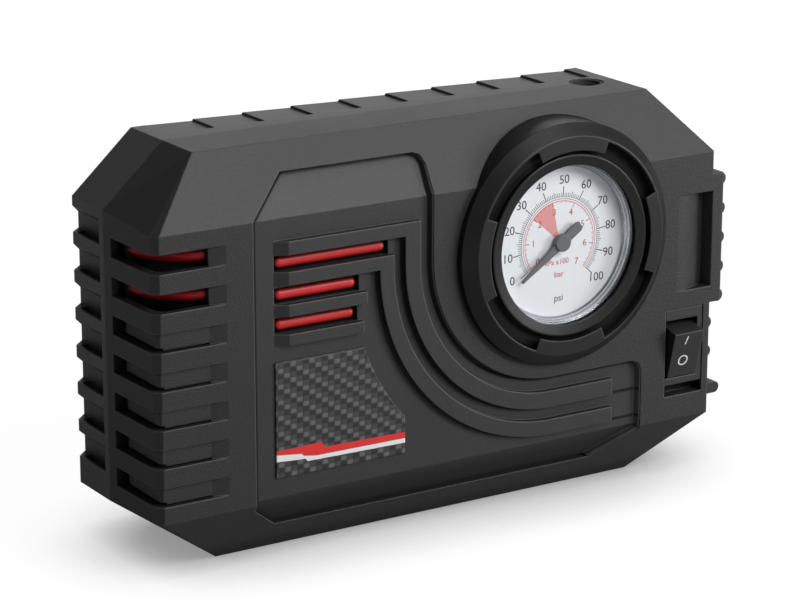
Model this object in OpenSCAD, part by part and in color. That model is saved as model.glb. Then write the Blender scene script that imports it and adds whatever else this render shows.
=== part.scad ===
// Portable tire inflator: a two-shell housing round a motor, a gear-driven piston compressor,
// a round pressure gauge and a rocker switch. Millimetres, +Z up, the front faces -Y.
// Pieces are placed from the left end (X), the front face (Y) and the base (Z) of the housing,
// and seat() then moves the middle of the base to the origin.

/* [Housing] */
// Width of the housing's front face
body_w = 191; // [186:1:200]
// Height of the housing
body_h = 119; // [117:1:124]
// Depth of the front shell, up to the parting line
front_depth = 28; // [28:0.5:30]
// Straight depth of the rear shell before its back bevel
rear_straight = 19; // [18:0.5:24]
// Depth and inset of the back bevel
rear_bevel = 9; // [5:0.5:10]
// Wall thickness of both shells
wall = 2.5; // [2:0.1:3]
// Height of the front face's bottom edge above the base
face_low = 17; // [15:0.5:18]
// Height of the top bevel
top_bevel_h = 19.3; // [18:0.1:20]
// Depth at which the top and bottom bevels of the front reach full height
front_bevel = 10.7; // [9:0.1:12]
// Run of the top corner cuts along the width
top_cut = 18.3; // [16:0.1:20]
// Run of the bottom corner cuts along the width
bottom_cut = 23.4; // [20:0.1:25]
// Growth of the sides from the front face to the parting line
side_flare = 0.8; // [0:0.1:1.5]
// Rise of the side's top edge from the front face to the parting line
shoulder_rise = 1.9; // [0:0.1:2.5]
// Cut across the left upright edge of the front face
edge_cut = 2; // [1:0.1:3]
// Cut across the right upright edge of the front face
right_cut = 0.4; // [0.2:0.1:1]

/* [Louvres and ribs] */
// Number of recesses at the front left corner
slot_count = 7; // [5:1:7]
// Gap between the highest corner recess and the top bevel
slot_top_gap = 5.2; // [4.5:0.1:6]
// Height of one corner recess
slot_h = 5.5; // [4:0.1:6]
// Height of the lowest recess's bottom edge
slot_base = 22.1; // [21.5:0.1:23]
// Number of the top recesses that are open
open_slots = 2; // [1:1:3]
// Length of the recesses along the front face
slot_front = 22.6; // [20:0.1:24]
// Length of the ramps at the right ends of the recesses
slot_ramp = 5; // [4:0.1:6]
// Depth of the recesses in the front face
slot_front_deep = 1.2; // [1:0.1:1.6]
// Depth of the recesses in the side faces
slot_side_deep = 1.5; // [1:0.1:1.8]
// Depth of the grooves under the corner blades
slot_groove_deep = 3.2; // [2.6:0.1:3.4]
// Gap from the recesses to the parting line
slot_to_seam = 4; // [3:0.5:6]
// Height of the upright walls in the rear shell's recesses
rear_slot_h = 4.7; // [4:0.1:5]
// Depth of the recesses in the rear shell
rear_slot_deep = 3.5; // [3:0.1:3.7]
// Height of a step between the top tiles
top_step_h = 0.7; // [0.5:0.1:1.2]
// Place of the first top step along the width
top_step_start = 38.3; // [37.5:0.1:39]
// Gap from the last top step to the right end of the housing
top_step_end = 22.5; // [22:0.1:23.5]
// Number of steps between the top tiles
top_step_count = 9; // [6:1:9]

/* [Front panel] */
// Left edge of the front panel
panel_left = 31.2; // [30:0.1:33]
// Gap from the front panel to the right end of the housing
panel_right_gap = 25.7; // [24:0.1:27]
// Gap from the panel's top edge to the top of the housing
panel_top_gap = 7.8; // [7:0.1:9]
// Bottom edge of the panel, on the lower bevel
panel_foot = 8.4; // [7:0.1:10]
// Depth of the panel's face below the front face
panel_drop = 2; // [1.5:0.1:2.2]
// Thickness of the panel
panel_t = 2; // [1.5:0.1:2.2]
// Thickness of the shell's seat behind the panel
panel_seat = 2; // [1.5:0.1:2.5]
// Shift of the curved bands' centre to the left of the gauge
band_shift = 2.9; // [2.5:0.1:3.2]
// Rise of the curved bands' centre above the gauge
band_rise = 1.2; // [0.8:0.1:1.5]
// Radius of the panel's edge round the gauge
band_edge_r = 42; // [41:0.1:42.5]
// Gap from the curved bands to the panel's right edge
band_end_gap = 10.8; // [9:0.1:15]
// Left end of the raised vent bars
bar_left = 38.4; // [37:0.1:40]
// Length of the ramps at the left ends of the vent bars
bar_ramp = 4; // [3:0.1:5]
// Width of the slope along the panel's right edge and round the gauge
rim_run = 1.2; // [1:0.1:2.2]

/* [Gauge] */
// Distance from the gauge's centre to the right end of the housing
gauge_from_right = 55.8; // [55.4:0.1:56.2]
// Distance from the gauge's centre to the top of the housing
gauge_from_top = 39.9; // [39.5:0.1:40.3]
// Outer radius of the gauge ring
ring_r = 36.6; // [36:0.1:37.4]
// Reach of the gauge ring in front of the housing
ring_proud = 5.2; // [4.6:0.1:6]
// Inner radius of the gauge ring behind its teeth
ring_bore_r = 32.2; // [31.8:0.1:32.4]
// Reach of the ring's locking teeth towards the dial
tooth_len = 3.6; // [3:0.1:3.8]
// Gap from the locking teeth to the gauge case and the lens
case_gap = 3.4; // [3.3:0.1:3.8]
// Overlap of the bezel's lip on the lens
lens_lip = 1.1; // [0.8:0.1:1.6]
// Depth of the gauge case
case_depth = 17.5; // [16:0.5:18]
// Needle travel from empty to full scale, degrees
needle_sweep = 260; // [180:5:270]
// Teeth on the pointer pinion
spindle_teeth = 10; // [10:1:10]
// Teeth that the sector would have as a full gear
sector_teeth = 60; // [60:5:60]
// Tooth module of the gauge movement
movement_module = 0.3; // [0.28:0.01:0.3]

/* [Rocker switch] */
// Distance from the switch pocket's left edge to the right end of the housing
pocket_from_right = 16.8; // [16.4:0.1:17.2]
// Width of the switch pocket
pocket_w = 14.2; // [14.1:0.1:14.4]
// Bottom edge of the switch pocket
pocket_low = 24.5; // [23:0.1:26]
// Top edge of the switch pocket
pocket_high = 52; // [51.6:0.1:52.2]
// Depth of the switch pocket
pocket_deep = 4; // [3.5:0.1:4.2]
// Width of the rocker
rocker_w = 10.8; // [10:0.1:11.2]
// Height of the rocker's face
rocker_h = 15; // [14:0.1:15]
// Tilt of the rocker to each side of the middle, degrees
rocker_tilt = 14; // [10:0.5:14]
// Height of the rocker's pivot
rocker_z = 39.4; // [39:0.1:39.6]
// Depth of the rocker's pivot behind the front face
rocker_y = 4.9; // [4.7:0.1:5.3]
// Radius of the rocker's pivot pins
rocker_pin_r = 1; // [0.8:0.1:1.2]

/* [Side grip] */
// Reach of the side grip beyond the front face's right end
grip_out = 4; // [3:0.1:5]
// Height of the grip's ribs above the grip
grip_rib = 1.2; // [0.5:0.1:1.5]
// Bottom edge of the side grip
grip_low = 52.3; // [52:0.1:54]
// Gap from the side grip to the top of the housing
grip_top_gap = 26.4; // [26:0.1:29]
// Number of ribs on the side grip
grip_ribs = 5; // [3:1:6]
// Deepest point of the finger scoop below the front face
scoop_deep = 3.8; // [3:0.1:5]

/* [Motor] */
// Depth of the motor, gear and cylinder axes behind the front face
drive_y = 30; // [29.8:0.1:30.2]
// Height of the motor's axis
motor_z = 26; // [26:0.1:26.3]
// Left end of the motor can
can_left = 24; // [23.5:0.1:25]
// Outer radius of the motor can
can_r = 19; // [18:0.1:19.2]
// Wall of the motor can
can_wall = 1.2; // [1:0.1:1.5]
// Outer radius of the armature core
core_r = 12.6; // [12:0.1:12.8]
// Radius of the motor shaft
shaft_r = 1.6; // [1.5:0.05:2]
// Outer radius of the rubber cushion round the motor
cushion_r = 23.3; // [23:0.1:23.4]

/* [Drive] */
// Tooth module of the pinion and the drive gear
gear_module = 0.8; // [0.8:0.05:0.8]
// Teeth on the motor pinion
pinion_teeth = 12; // [12:4:12]
// Teeth on the drive gear
gear_teeth = 48; // [48:4:48]
// Width of the drive gear's teeth
gear_w = 6; // [5:0.5:6.5]
// Radius of the gear axle
axle_r = 3; // [2.5:0.1:3.5]
// Crank radius, half of the piston's stroke
crank_r = 6; // [5:0.5:6.5]
// Thickness of the gearbox frame
frame_t = 4; // [3.5:0.1:4.5]
// Distance from the cylinder's axis to the gauge's centre
cylinder_to_gauge = 46; // [45:0.5:46.5]

/* [Cylinder] */
// Radius of the cylinder's bore
bore_r = 9.5; // [9:0.1:10]
// Wall of the cylinder's barrel
barrel_wall = 1.5; // [1.3:0.1:1.8]
// Outer radius of the cooling fins
fin_r = 14; // [13:0.1:14.3]
// Number of cooling fins
fin_count = 4; // [3:1:5]
// Gap from the cylinder head to the top of the housing
head_to_top = 14.4; // [14:0.1:16]
// Gap between the piston at the top of its stroke and the cylinder head
head_clearance = 1; // [0.6:0.1:1.5]
// Height of the cylinder head
head_h = 12; // [11:0.5:12.5]

/* [Air path] */
// Distance from the hose outlet to the right end of the housing
outlet_from_right = 28; // [27.6:0.1:28.4]
// Radius of the outlet hole in the top
outlet_r = 5.4; // [5.2:0.1:5.8]
// Radius of the hose tail
tail_r = 3; // [2.8:0.1:3.2]
// Outer radius of the inner air tubes
tube_r = 2.6; // [2.4:0.1:2.8]
// Bore radius of the inner air tubes
tube_bore = 1.5; // [1.3:0.1:1.7]

/* [Fasteners and cord gland] */
// Radius of the housing screws' shanks
screw_r = 1.5; // [1.3:0.1:1.7]
// Radius of the housing screws' heads
screw_head_r = 2.8; // [2.6:0.1:3]
// Outer radius of the screw bosses
boss_r = 4; // [3.6:0.1:4.2]
// Height of the cord gland
gland_z = 34; // [33:0.5:36]
// Depth of the cord gland behind the front face
gland_y = 40; // [39.5:0.5:41]
// Bore radius of the cord gland
gland_bore = 2.8; // [2.5:0.1:3]
// Radius of the housing hole that holds the cord gland
gland_r = 5; // [4.8:0.1:5.2]
// Radial clearance of parts that turn or slide in each other
run_gap = 0.04; // [0.02:0.01:0.06]
// Clearance of parts that are seated in each other
seat_gap = 0.1; // [0.05:0.05:0.15]

/* [Hidden] */
$fn = 64;

body_d = front_depth + rear_straight + rear_bevel;
face_high = body_h - top_bevel_h;
slot_pitch = (face_high - slot_base - slot_h - slot_top_gap) / (slot_count - 1);
top_tile_w = (body_w - top_step_start - top_step_end) / (top_step_count - 1);
gauge_x = body_w - gauge_from_right;
gauge_z = body_h - gauge_from_top;
band_x = gauge_x - band_shift;
band_z = gauge_z + band_rise;
panel_right = body_w - panel_right_gap;
panel_top = body_h - panel_top_gap;
panel_neck = band_x - band_edge_r;
band_end = panel_right - band_end_gap;
tooth_r = ring_bore_r - tooth_len;
case_r = tooth_r - case_gap;
lens_view_r = case_r - lens_lip;
pocket_left = body_w - pocket_from_right;
grip_high = body_h - grip_top_gap;
outlet_x = body_w - outlet_from_right;
rear_bevel_y = front_depth + rear_straight;
middle_x = (body_w + grip_out + grip_rib - side_flare) / 2;
middle_y = (body_d - ring_proud) / 2;
inner_back = body_d - wall;
far = 300;
eps = 0.01;

// Gearing
pinion_pitch_r = gear_module * pinion_teeth / 2;
gear_pitch_r = gear_module * gear_teeth / 2;
gear_z = motor_z + pinion_pitch_r + gear_pitch_r;
gear_play = 0.2;
gear_tip = 0.75;
gear_root = 1.2;
pressure_angle = 20;

// Stations along the drive, from the cylinder's axis back to the motor's left end
cap_t = 4;
rod_w = 5;
rod_gap = 0.3;
crank_boss_h = 3.4;
crank_boss_r = 4.6;
pin_r = 2.5;
bearing_r = 5.5;
big_end_r = 8;
gear_to_frame = 2.5;
rod_mid = gauge_x - cylinder_to_gauge;
rod_left = rod_mid - rod_w / 2;
rod_right = rod_mid + rod_w / 2;
crank_face = rod_left - 2 * rod_gap;
gear_right = crank_face - crank_boss_h;
gear_left = gear_right - gear_w;
frame_right = gear_left - gear_to_frame;
frame_left = frame_right - frame_t;
can_right = frame_left - 0.2;
can_len = can_right - can_left;
shaft_right = gear_right + 1;
pinion_left = gear_left - 0.5;
core_left = can_left + 14;
core_len = can_len - 22;
cushion_w = 10;

// Piston and cylinder, from the cylinder head down to the crank
piston_t = 3;
seal_t = 2.5;
gasket_t = 0.6;
crown_h = piston_t + seal_t - 0.5;
head_top = body_h - head_to_top;
head_low = head_top - head_h;
barrel_top = head_low - gasket_t;
piston_seat_z = barrel_top - head_clearance - crown_h;
pin_z = gear_z + crank_r;
rod_len = piston_seat_z - pin_z;
arm_z = gear_z + gear_pitch_r + gear_module + 1;
barrel_len = barrel_top - arm_z;
arm_right = rod_mid + fin_r + 2;
head_screw_r = 11.6;
valve_r = 3.2;
valve_t = 1;
valve_chamber_r = 4;
port_r = 1.6;
valve_z = head_low + 3;
valve_chamber_top = head_top - 2;
tube_z = head_top - 5.5;

// Gauge stations, from front to back
ring_shelf_y = 1.2;
ring_shelf_t = 2;
ring_back = front_bevel + 1.5;
lens_t = 1.5;
lens_y = -ring_proud + 2.1;
case_y = lens_y + lens_t + 0.05;
case_back = case_y + case_depth;
case_wall = 1.2;
dial_y = 1.5;
dial_t = 0.6;
needle_y = dial_y - 1.8;
needle_t = 0.6;
spindle_r = 0.7;
plate_front_y = 3.2;
sector_y = 4.7;
sector_t = 1;
plate_back_y = 6.4;
spindle_pitch_r = movement_module * spindle_teeth / 2;
sector_pitch_r = movement_module * sector_teeth / 2;
sector_drop = spindle_pitch_r + sector_pitch_r;
sector_swing = needle_sweep * spindle_teeth / sector_teeth;
movement_play = 0.08;
needle_start = 216;
tube_coil_r = case_r - 6.2;
stem_x = gauge_x;
stem_z = gauge_z - tube_coil_r;
stem_y = case_back + 5;

// Hose outlet
tail_top = body_h - 2.6;
tee_z = tube_z;
tee_h = 12;
tee_w = 10;
outlet_y = front_depth;

screw_spots = [
    [13, 27], [24, body_h - 11], [70, body_h - 11],
    [body_w - 10, body_h - 22], [body_w - 25, 10], [body_w - 79, 9]
];
screw_len = 26;
seat_depth = 14;
screw_head_t = 2;
screw_seat_t = 2.5;
motor_screw_y = 8;
motor_screw_r = 1.3;
motor_head_r = 2.6;
scoop_left = body_w - 13;
scoop_right = body_w - 0.1;
scoop_wall_run = 1.5;
scoop_edge = 5.2;
foot_rib_z = 24.4;
grip_back = front_depth - 1;

// --- Shared tools ---

module seat() {
    translate([-middle_x, -middle_y, 0]) children();
}

// A flat X-Z shape made into a slab from depth y to y + t
module slab(y, t) {
    translate([0, y + t, 0]) rotate([90, 0, 0]) linear_extrude(t) children();
}

// A flat Y-Z shape made into a slab from x to x + t
module cross_slab(x, t) {
    translate([x, 0, 0]) rotate([90, 0, 90]) linear_extrude(t) children();
}

module bar_x(x, y, z, r, len) {
    translate([x, y, z]) rotate([0, 90, 0]) cylinder(r = r, h = len);
}

module bar_y(x, y, z, r, len) {
    translate([x, y + len, z]) rotate([90, 0, 0]) cylinder(r = r, h = len);
}

module bar_z(x, y, z, r, len) {
    translate([x, y, z]) cylinder(r = r, h = len);
}

// A profile of [radius, depth] points turned round the gauge's axis
module turned(points) {
    translate([gauge_x, 0, gauge_z]) rotate([-90, 0, 0]) rotate_extrude($fn = 96) polygon(points);
}

// How far an inset of t moves a corner along one side of a cut with the given run and rise
function shift(t, run, rise) = t * (norm([run, rise]) - run) / rise;

// Octagonal outline of the housing, inset by t, with the sides moved out by flare
function outline(t, flare, rise) = [
    [bottom_cut + shift(t, bottom_cut, face_low), t],
    [body_w - bottom_cut - shift(t, bottom_cut, face_low), t],
    [body_w - t + flare, face_low + shift(t, face_low, bottom_cut) - flare],
    [body_w - t + flare, face_high + rise - shift(t, body_h - face_high, top_cut)],
    [body_w - top_cut - shift(t, top_cut, body_h - face_high), body_h - t],
    [top_cut + shift(t, top_cut, body_h - face_high), body_h - t],
    [t - flare, face_high + rise - shift(t, body_h - face_high, top_cut)],
    [t - flare, face_low + shift(t, face_low, bottom_cut) - flare]
];

// Solid form of the front half, inset by t
module front_form(t) {
    low = face_low + shift(t, face_low, front_bevel);
    high = face_high - shift(t, body_h - face_high, front_bevel);
    bevel_y = front_bevel + shift(t, front_bevel, body_h - face_high);
    hull() {
        translate([t + edge_cut, t, low]) cube([body_w - 2 * t - edge_cut - right_cut, eps, high - low]);
        translate([t, t + edge_cut, low]) cube([edge_cut, eps, high - low]);
        translate([body_w - t - right_cut, t + right_cut, low]) cube([right_cut, eps, high - low]);
        slab(bevel_y, eps) polygon(outline(t, 0, 0));
        slab(front_depth - eps, eps) polygon(outline(t, side_flare, shoulder_rise));
    }
}

// Solid form of the rear half, inset by t
module rear_form(t) {
    bevel_t = shift(t, 1, 1);
    hull() {
        slab(front_depth, eps) polygon(outline(t, side_flare, shoulder_rise));
        slab(rear_bevel_y - bevel_t - eps, eps) polygon(outline(t, side_flare, shoulder_rise));
        slab(body_d - t - eps, eps) polygon(outline(rear_bevel + bevel_t, side_flare, shoulder_rise));
    }
}

// Involute gear outline
function inv_deg(a) = tan(a) * 180 / PI - a;
function flank(r, half, rb) = half + inv_deg(pressure_angle) - inv_deg(acos(min(1, rb / r)));
function gear_points(teeth, m, play, first, last) =
    let (rp = m * teeth / 2,
         rb = rp * cos(pressure_angle),
         tip = rp + gear_tip * m,
         root = rp - gear_root * m,
         start = max(rb, root),
         half = 90 / teeth - play / 2 / rp * 180 / PI,
         radii = [root, start, (start + rp) / 2, rp, (rp + tip) / 2, tip])
    [for (i = [first : last])
        each concat(
            [for (k = [0 : 5]) let (a = i * 360 / teeth - flank(max(radii[k], start), half, rb))
                radii[k] * [cos(a), sin(a)]],
            [for (k = [5 : -1 : 0]) let (a = i * 360 / teeth + flank(max(radii[k], start), half, rb))
                radii[k] * [cos(a), sin(a)]])];

// Tube swept along a list of points that ends square to its first and last steps
function unit(v) = v / norm(v);
function tangent(p, i) = unit(p[min(i + 1, len(p) - 1)] - p[max(i - 1, 0)]);
function side_of(t) = unit(cross(t, abs(t[1]) < 0.9 ? [0, 1, 0] : [1, 0, 0]));
function smooth_at(p, i, u) =
    let (a = p[max(i - 1, 0)], b = p[i], c = p[i + 1], d = p[min(i + 2, len(p) - 1)])
    0.5 * (2 * b + (c - a) * u + (2 * a - 5 * b + 4 * c - d) * u * u + (3 * b - a - 3 * c + d) * u * u * u);
function smooth(p, steps) = concat(
    [for (i = [0 : len(p) - 2], k = [0 : steps - 1]) smooth_at(p, i, k / steps)],
    [p[len(p) - 1]]);
module swept_tube(p, r, bore) {
    n = len(p);
    sides = 8;
    radii = bore > 0 ? [r, bore / cos(180 / sides)] : [r];
    ring = [for (rad = radii, i = [0 : n - 1], k = [0 : sides - 1])
        let (t = tangent(p, i), u = side_of(t), v = cross(t, u), a = k * 360 / sides)
        p[i] + rad * (cos(a) * u + sin(a) * v)];
    outer = [for (i = [0 : n - 2], k = [0 : sides - 1]) let (j = (k + 1) % sides)
        each [[i * sides + k, i * sides + j, (i + 1) * sides + j],
              [i * sides + k, (i + 1) * sides + j, (i + 1) * sides + k]]];
    base = n * sides;
    inner = [for (f = outer) [f[2] + base, f[1] + base, f[0] + base]];
    last = (n - 1) * sides;
    caps = bore > 0
        ? [for (k = [0 : sides - 1]) let (j = (k + 1) % sides)
            each [[k, base + k, base + j], [k, base + j, j],
                  [last + k, last + j, base + last + j], [last + k, base + last + j, base + last + k]]]
        : concat([for (k = [1 : sides - 2]) [0, k + 1, k]],
                 [for (k = [1 : sides - 2]) [last, last + k, last + k + 1]]);
    polyhedron(ring, concat(outer, bore > 0 ? inner : [], caps));
}

// --- Housing ---

function slot_z(i) = slot_base + i * slot_pitch;
first_open = slot_count - open_slots;

// Wrap-round recesses of the front left corner; the upper ones are open
module corner_recess(i) {
    z = slot_z(i);
    back = front_depth - slot_to_seam;
    ramp_x = slot_front - slot_ramp;
    translate([0, 0, z]) linear_extrude(slot_h)
        polygon([[-5, -5], [slot_front, -5], [slot_front, 0], [ramp_x, slot_front_deep],
                 [slot_side_deep + 0.9, slot_front_deep], [slot_side_deep, slot_front_deep + 0.9],
                 [slot_side_deep, back], [-5, back]]);
    if (i >= first_open) {
        translate([-5, -5, z]) cube([ramp_x + 5, wall + 6, slot_h]);
        translate([-5, -5, z]) cube([wall + 6, back + 5, slot_h]);
    } else {
        translate([-5, 1.2, z]) cube([slot_groove_deep + 5, back - 1.2, 1.2]);
        translate([-5, back - 4, z]) cube([slot_groove_deep + 5, 4, slot_h]);
        translate([1.2, -5, z]) cube([ramp_x - 1.2, slot_groove_deep - 0.4 + 5, 0.5]);
    }
}

// Thick wall behind the closed recesses
module corner_backing() {
    top = slot_z(first_open) - (slot_pitch - slot_h) / 2;
    low = slot_base - 2;
    cube_h = top - low;
    translate([0, 0, low]) cube([slot_front + 1.6, 4, cube_h]);
    translate([-1, 0, low]) cube([slot_groove_deep + 2.4, front_depth - 2, cube_h]);
}

module panel_outline(gap) {
    neck = panel_neck - gap;
    left = panel_left + gap;
    right = panel_right - gap;
    foot = panel_foot + gap;
    edge_r = band_edge_r + gap;
    arc_top = band_z - edge_r;
    difference() {
        polygon([
            [left, foot + 6.8], [left, face_high], [panel_left + 12.1, panel_top - gap], [neck - 3.4, panel_top - gap],
            [neck - 1.2, panel_top - gap - 0.8], [neck, panel_top - gap - 3.4], [neck, band_z],
            [band_x, band_z], [band_x, arc_top], [right - 3.6, arc_top], [right - 1, arc_top - 1.1],
            [right, arc_top - 3.6], [right, foot + 7.6], [panel_right - 15.8, foot], [panel_left + 8.8, foot]
        ]);
        translate([band_x, band_z]) circle(r = edge_r, $fn = 128);
    }
}

module grip() {
    span = grip_high - grip_low;
    rib_r = 2;
    rib_front = 0.8;
    rib_step = (span - 1.8 * rib_r) / (grip_ribs - 1);
    reach = body_w + grip_out + grip_rib;
    translate([scoop_left, right_cut, grip_low]) cube([body_w + grip_out - scoop_left, grip_back - right_cut, span]);
    translate([scoop_left, 0, grip_low]) cube([body_w + grip_out - scoop_left - right_cut, grip_back, span]);
    for (i = [0 : grip_ribs - 1])
        bar_y(reach - rib_r, rib_front, grip_low + 0.8 * rib_r + i * rib_step, rib_r, grip_back - rib_front - 1);
    // Low ribs that carry on below the grip, and the foot rib
    for (i = [0, 1])
        bar_y(body_w + 1.2 - rib_r, rib_front, grip_low - 6.6 - i * rib_step, rib_r, grip_back - rib_front - 1);
    foot_r = 1.8;
    foot_reach = reach - 0.5;
    bar_y(foot_reach - foot_r, 0.6, foot_rib_z, foot_r, grip_back - 1);
    translate([body_w - 3, 0.6, foot_rib_z - foot_r]) cube([foot_reach - foot_r - body_w + 3, grip_back - 1, 2 * foot_r]);
}

// Floor of the scoop, which falls in a curve from the left to an upright wall at the right
module finger_scoop() {
    run = scoop_right - scoop_wall_run - scoop_left;
    translate([0, 0, grip_low + scoop_edge])
        linear_extrude(grip_high - grip_low - 2 * scoop_edge)
            polygon(concat([for (i = [0 : 8]) [scoop_left + run * i / 8, scoop_deep * pow(i / 8, 1.5)]],
                           [[scoop_right, 0], [scoop_right, -5], [scoop_left, -5]]));
}

// Shell material behind the scoop
module scoop_backing() {
    translate([scoop_left - 1, 1, grip_low + scoop_edge - wall])
        cube([body_w - scoop_left - 0.5, scoop_deep + wall - 1, grip_high - grip_low - 2 * scoop_edge + 2 * wall]);
}

vent_lows = [band_z + 3.6, band_z - 5.7, band_z - 14.4];
vent_rights = [band_x - 56.3, band_x - 66, band_x - 66.6];
vent_h = 4.6;
vent_left = bar_left + 0.2;

module vent_windows(grow) {
    for (i = [0 : 2])
        translate([vent_left - grow, -1, vent_lows[i] - grow])
            cube([vent_rights[i] - vent_left + 2 * grow, 20, vent_h + 2 * grow]);
}

switch_x = pocket_left + 6.6;
switch_body_w = 13;
switch_body_low = rocker_z - 9;
switch_body_h = 18;
switch_depth = 18;
flange_t = 1.6;

module switch_pocket() {
    translate([pocket_left, -1, pocket_low]) cube([pocket_w, pocket_deep + 1, pocket_high - pocket_low]);
    translate([switch_x - switch_body_w / 2 - seat_gap, 0, switch_body_low - seat_gap])
        cube([switch_body_w + 2 * seat_gap, 20, switch_body_h + 2 * seat_gap]);
}

module pocket_backing() {
    translate([pocket_left - wall, 1, pocket_low - wall])
        cube([body_w - pocket_left + wall - 1, pocket_deep + 1, pocket_high - pocket_low + 2 * wall]);
}

module outlet_hole(r) {
    bar_z(outlet_x, outlet_y, tee_z + tee_h, r, far);
}

module front_shell() {
    color("#2c2c2e") seat() difference() {
        union() {
            difference() {
                union() {
                    front_form(0);
                    grip();
                }
                front_form(wall);
            }
            intersection() {
                front_form(1);
                union() {
                    corner_backing();
                    pocket_backing();
                    scoop_backing();
                    slab(0, seat_depth) panel_outline(-wall);
                    for (s = screw_spots) bar_y(s[0], 1, s[1], boss_r, front_depth - 1.2);
                    bar_y(gauge_x, 0.5, gauge_z, ring_r + wall + seat_gap, ring_back - 1);
                }
            }
        }
        // Hollow behind the panel's seat, clear of the bosses and the gauge collar
        difference() {
            intersection() {
                front_form(panel_drop + panel_t + panel_seat);
                slab(0, 30) panel_outline(-wall - 1);
            }
            bar_y(gauge_x, 0, gauge_z, ring_r + wall + seat_gap, ring_back - 0.5);
            for (s = screw_spots) bar_y(s[0], 1, s[1], boss_r, front_depth);
            corner_backing();
        }
        // Pocket that takes the panel
        difference() {
            slab(-1, 30) panel_outline(0);
            front_form(panel_drop + panel_t);
        }
        vent_windows(0.3);
        for (i = [0 : slot_count - 1]) corner_recess(i);
        bar_y(gauge_x, -20, gauge_z, ring_r + seat_gap, 60);
        switch_pocket();
        finger_scoop();
        outlet_hole(outlet_r);
        for (s = screw_spots) bar_y(s[0], front_depth - 18, s[1], screw_r - 0.2, 30);
        translate([-20, front_depth, -20]) cube(far);
    }
}

// Recesses of the rear shell's sides: upright wall, slope up to the next rib, gutter behind the lower rib's lip
module rear_recess(i) {
    z = slot_z(i) + 2.1;
    front = front_depth + slot_to_seam - 1.5;
    deep = rear_slot_deep - side_flare;
    for (side = [0, 1]) translate([side * body_w, 0, 0]) mirror([side, 0, 0]) {
        slab(front, far) polygon([[-20, z], [deep, z], [deep, z + rear_slot_h],
                                  [-side_flare, z + rear_slot_h + rear_slot_deep * 0.85],
                                  [-20, z + rear_slot_h + rear_slot_deep * 0.85]]);
        translate([0.2, front, z - 2]) cube([deep - 0.2, rear_straight - slot_to_seam + 0.5, 3]);
    }
}

// Slope of one top tile, from its step on the left down to the next step
module top_slope(i) {
    left = top_step_start + (i - 1) * top_tile_w;
    slab(front_depth + slot_to_seam + 2, far)
        polygon([[left, body_h], [left + top_tile_w, body_h - top_step_h], [left + top_tile_w, body_h + 9],
                 [left, body_h + 9]]);
}

vent_slot_w = 2.4;
vent_slot_h = 26;
vent_slot_count = 8;

module rear_shell() {
    pad = rear_slot_deep + 1.2;
    color("#2c2c2e") seat() difference() {
        union() {
            difference() {
                rear_form(0);
                rear_form(wall);
            }
            intersection() {
                rear_form(1);
                union() {
                    translate([-1, front_depth, face_low]) cube([pad + 1, far, face_high - face_low]);
                    translate([body_w - pad, front_depth, face_low]) cube([pad + 1, far, face_high - face_low]);
                    translate([top_cut, front_depth, body_h - top_step_h - wall])
                        cube([body_w - 2 * top_cut, far, 10]);
                    for (s = screw_spots) bar_y(s[0], front_depth, s[1], boss_r, far);
                }
            }
        }
        for (i = [0 : slot_count - 1]) rear_recess(i);
        for (i = [0 : top_step_count - 1]) top_slope(i);
        outlet_hole(outlet_r);
        bar_x(body_w - 20, gland_y, gland_z, gland_r, 40);
        for (i = [0 : vent_slot_count - 1])
            translate([can_left + 6 + i * 5, inner_back - 5, motor_z - vent_slot_h / 2 + 6])
                cube([vent_slot_w, 20, vent_slot_h]);
        for (s = screw_spots) {
            bar_y(s[0], front_depth - 1, s[1], screw_r + seat_gap, far);
            bar_y(s[0], front_depth + screw_seat_t + 4, s[1], screw_head_r + 0.2, far);
        }
        // Relief for the switch body and the outlet tee
        translate([outlet_x - tee_w / 2 - 0.3, front_depth - 1, tee_z - tee_h / 2])
            cube([tee_w + 0.6, tee_w / 2 + 1.3, tee_h]);
    }
}

module case_screws() {
    color("dimgray") seat() for (s = screw_spots) {
        head_y = front_depth + screw_seat_t + 4;
        bar_y(s[0], head_y - screw_len + 3, s[1], screw_r - 0.2, screw_len - 3);
        difference() {
            bar_y(s[0], head_y, s[1], screw_head_r, screw_head_t);
            for (a = [0, 90])
                translate([s[0], head_y + screw_head_t, s[1]]) rotate([0, a, 0]) cube([3.6, 2, 0.8], center = true);
        }
    }
}

// --- Panel and trim ---

bar_tops = [band_z + 12.4, band_z + 3.6, band_z - 5.9, band_z - 14.5];
bar_lows = [band_z + 8.4, band_z - 0.3, band_z - 9.4, band_z - 17.8];
bar_rights = [band_x - 46.4, band_x - 55.3, band_x - 64.3, band_x - 65.3];
band_rs = [[46.4, 51.5], [55.3, 60]];

module band(i) {
    inner = band_rs[i][0];
    outer = band_rs[i][1];
    intersection() {
        translate([band_x, band_z]) difference() {
            circle(r = outer, $fn = 128);
            circle(r = inner, $fn = 128);
        }
        translate([band_x - far, band_z - far]) square(far);
    }
    translate([band_x - outer, band_z]) square([outer - inner, bar_tops[i] - band_z]);
    translate([band_x, band_z - outer]) square([band_end - band_x, outer - inner]);
}

// Depth of the front's surface at height z
function skin_y(z) = z > face_high ? (z - face_high) * front_bevel / top_bevel_h
    : z < face_low ? (face_low - z) * front_bevel / face_low : 0;

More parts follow.
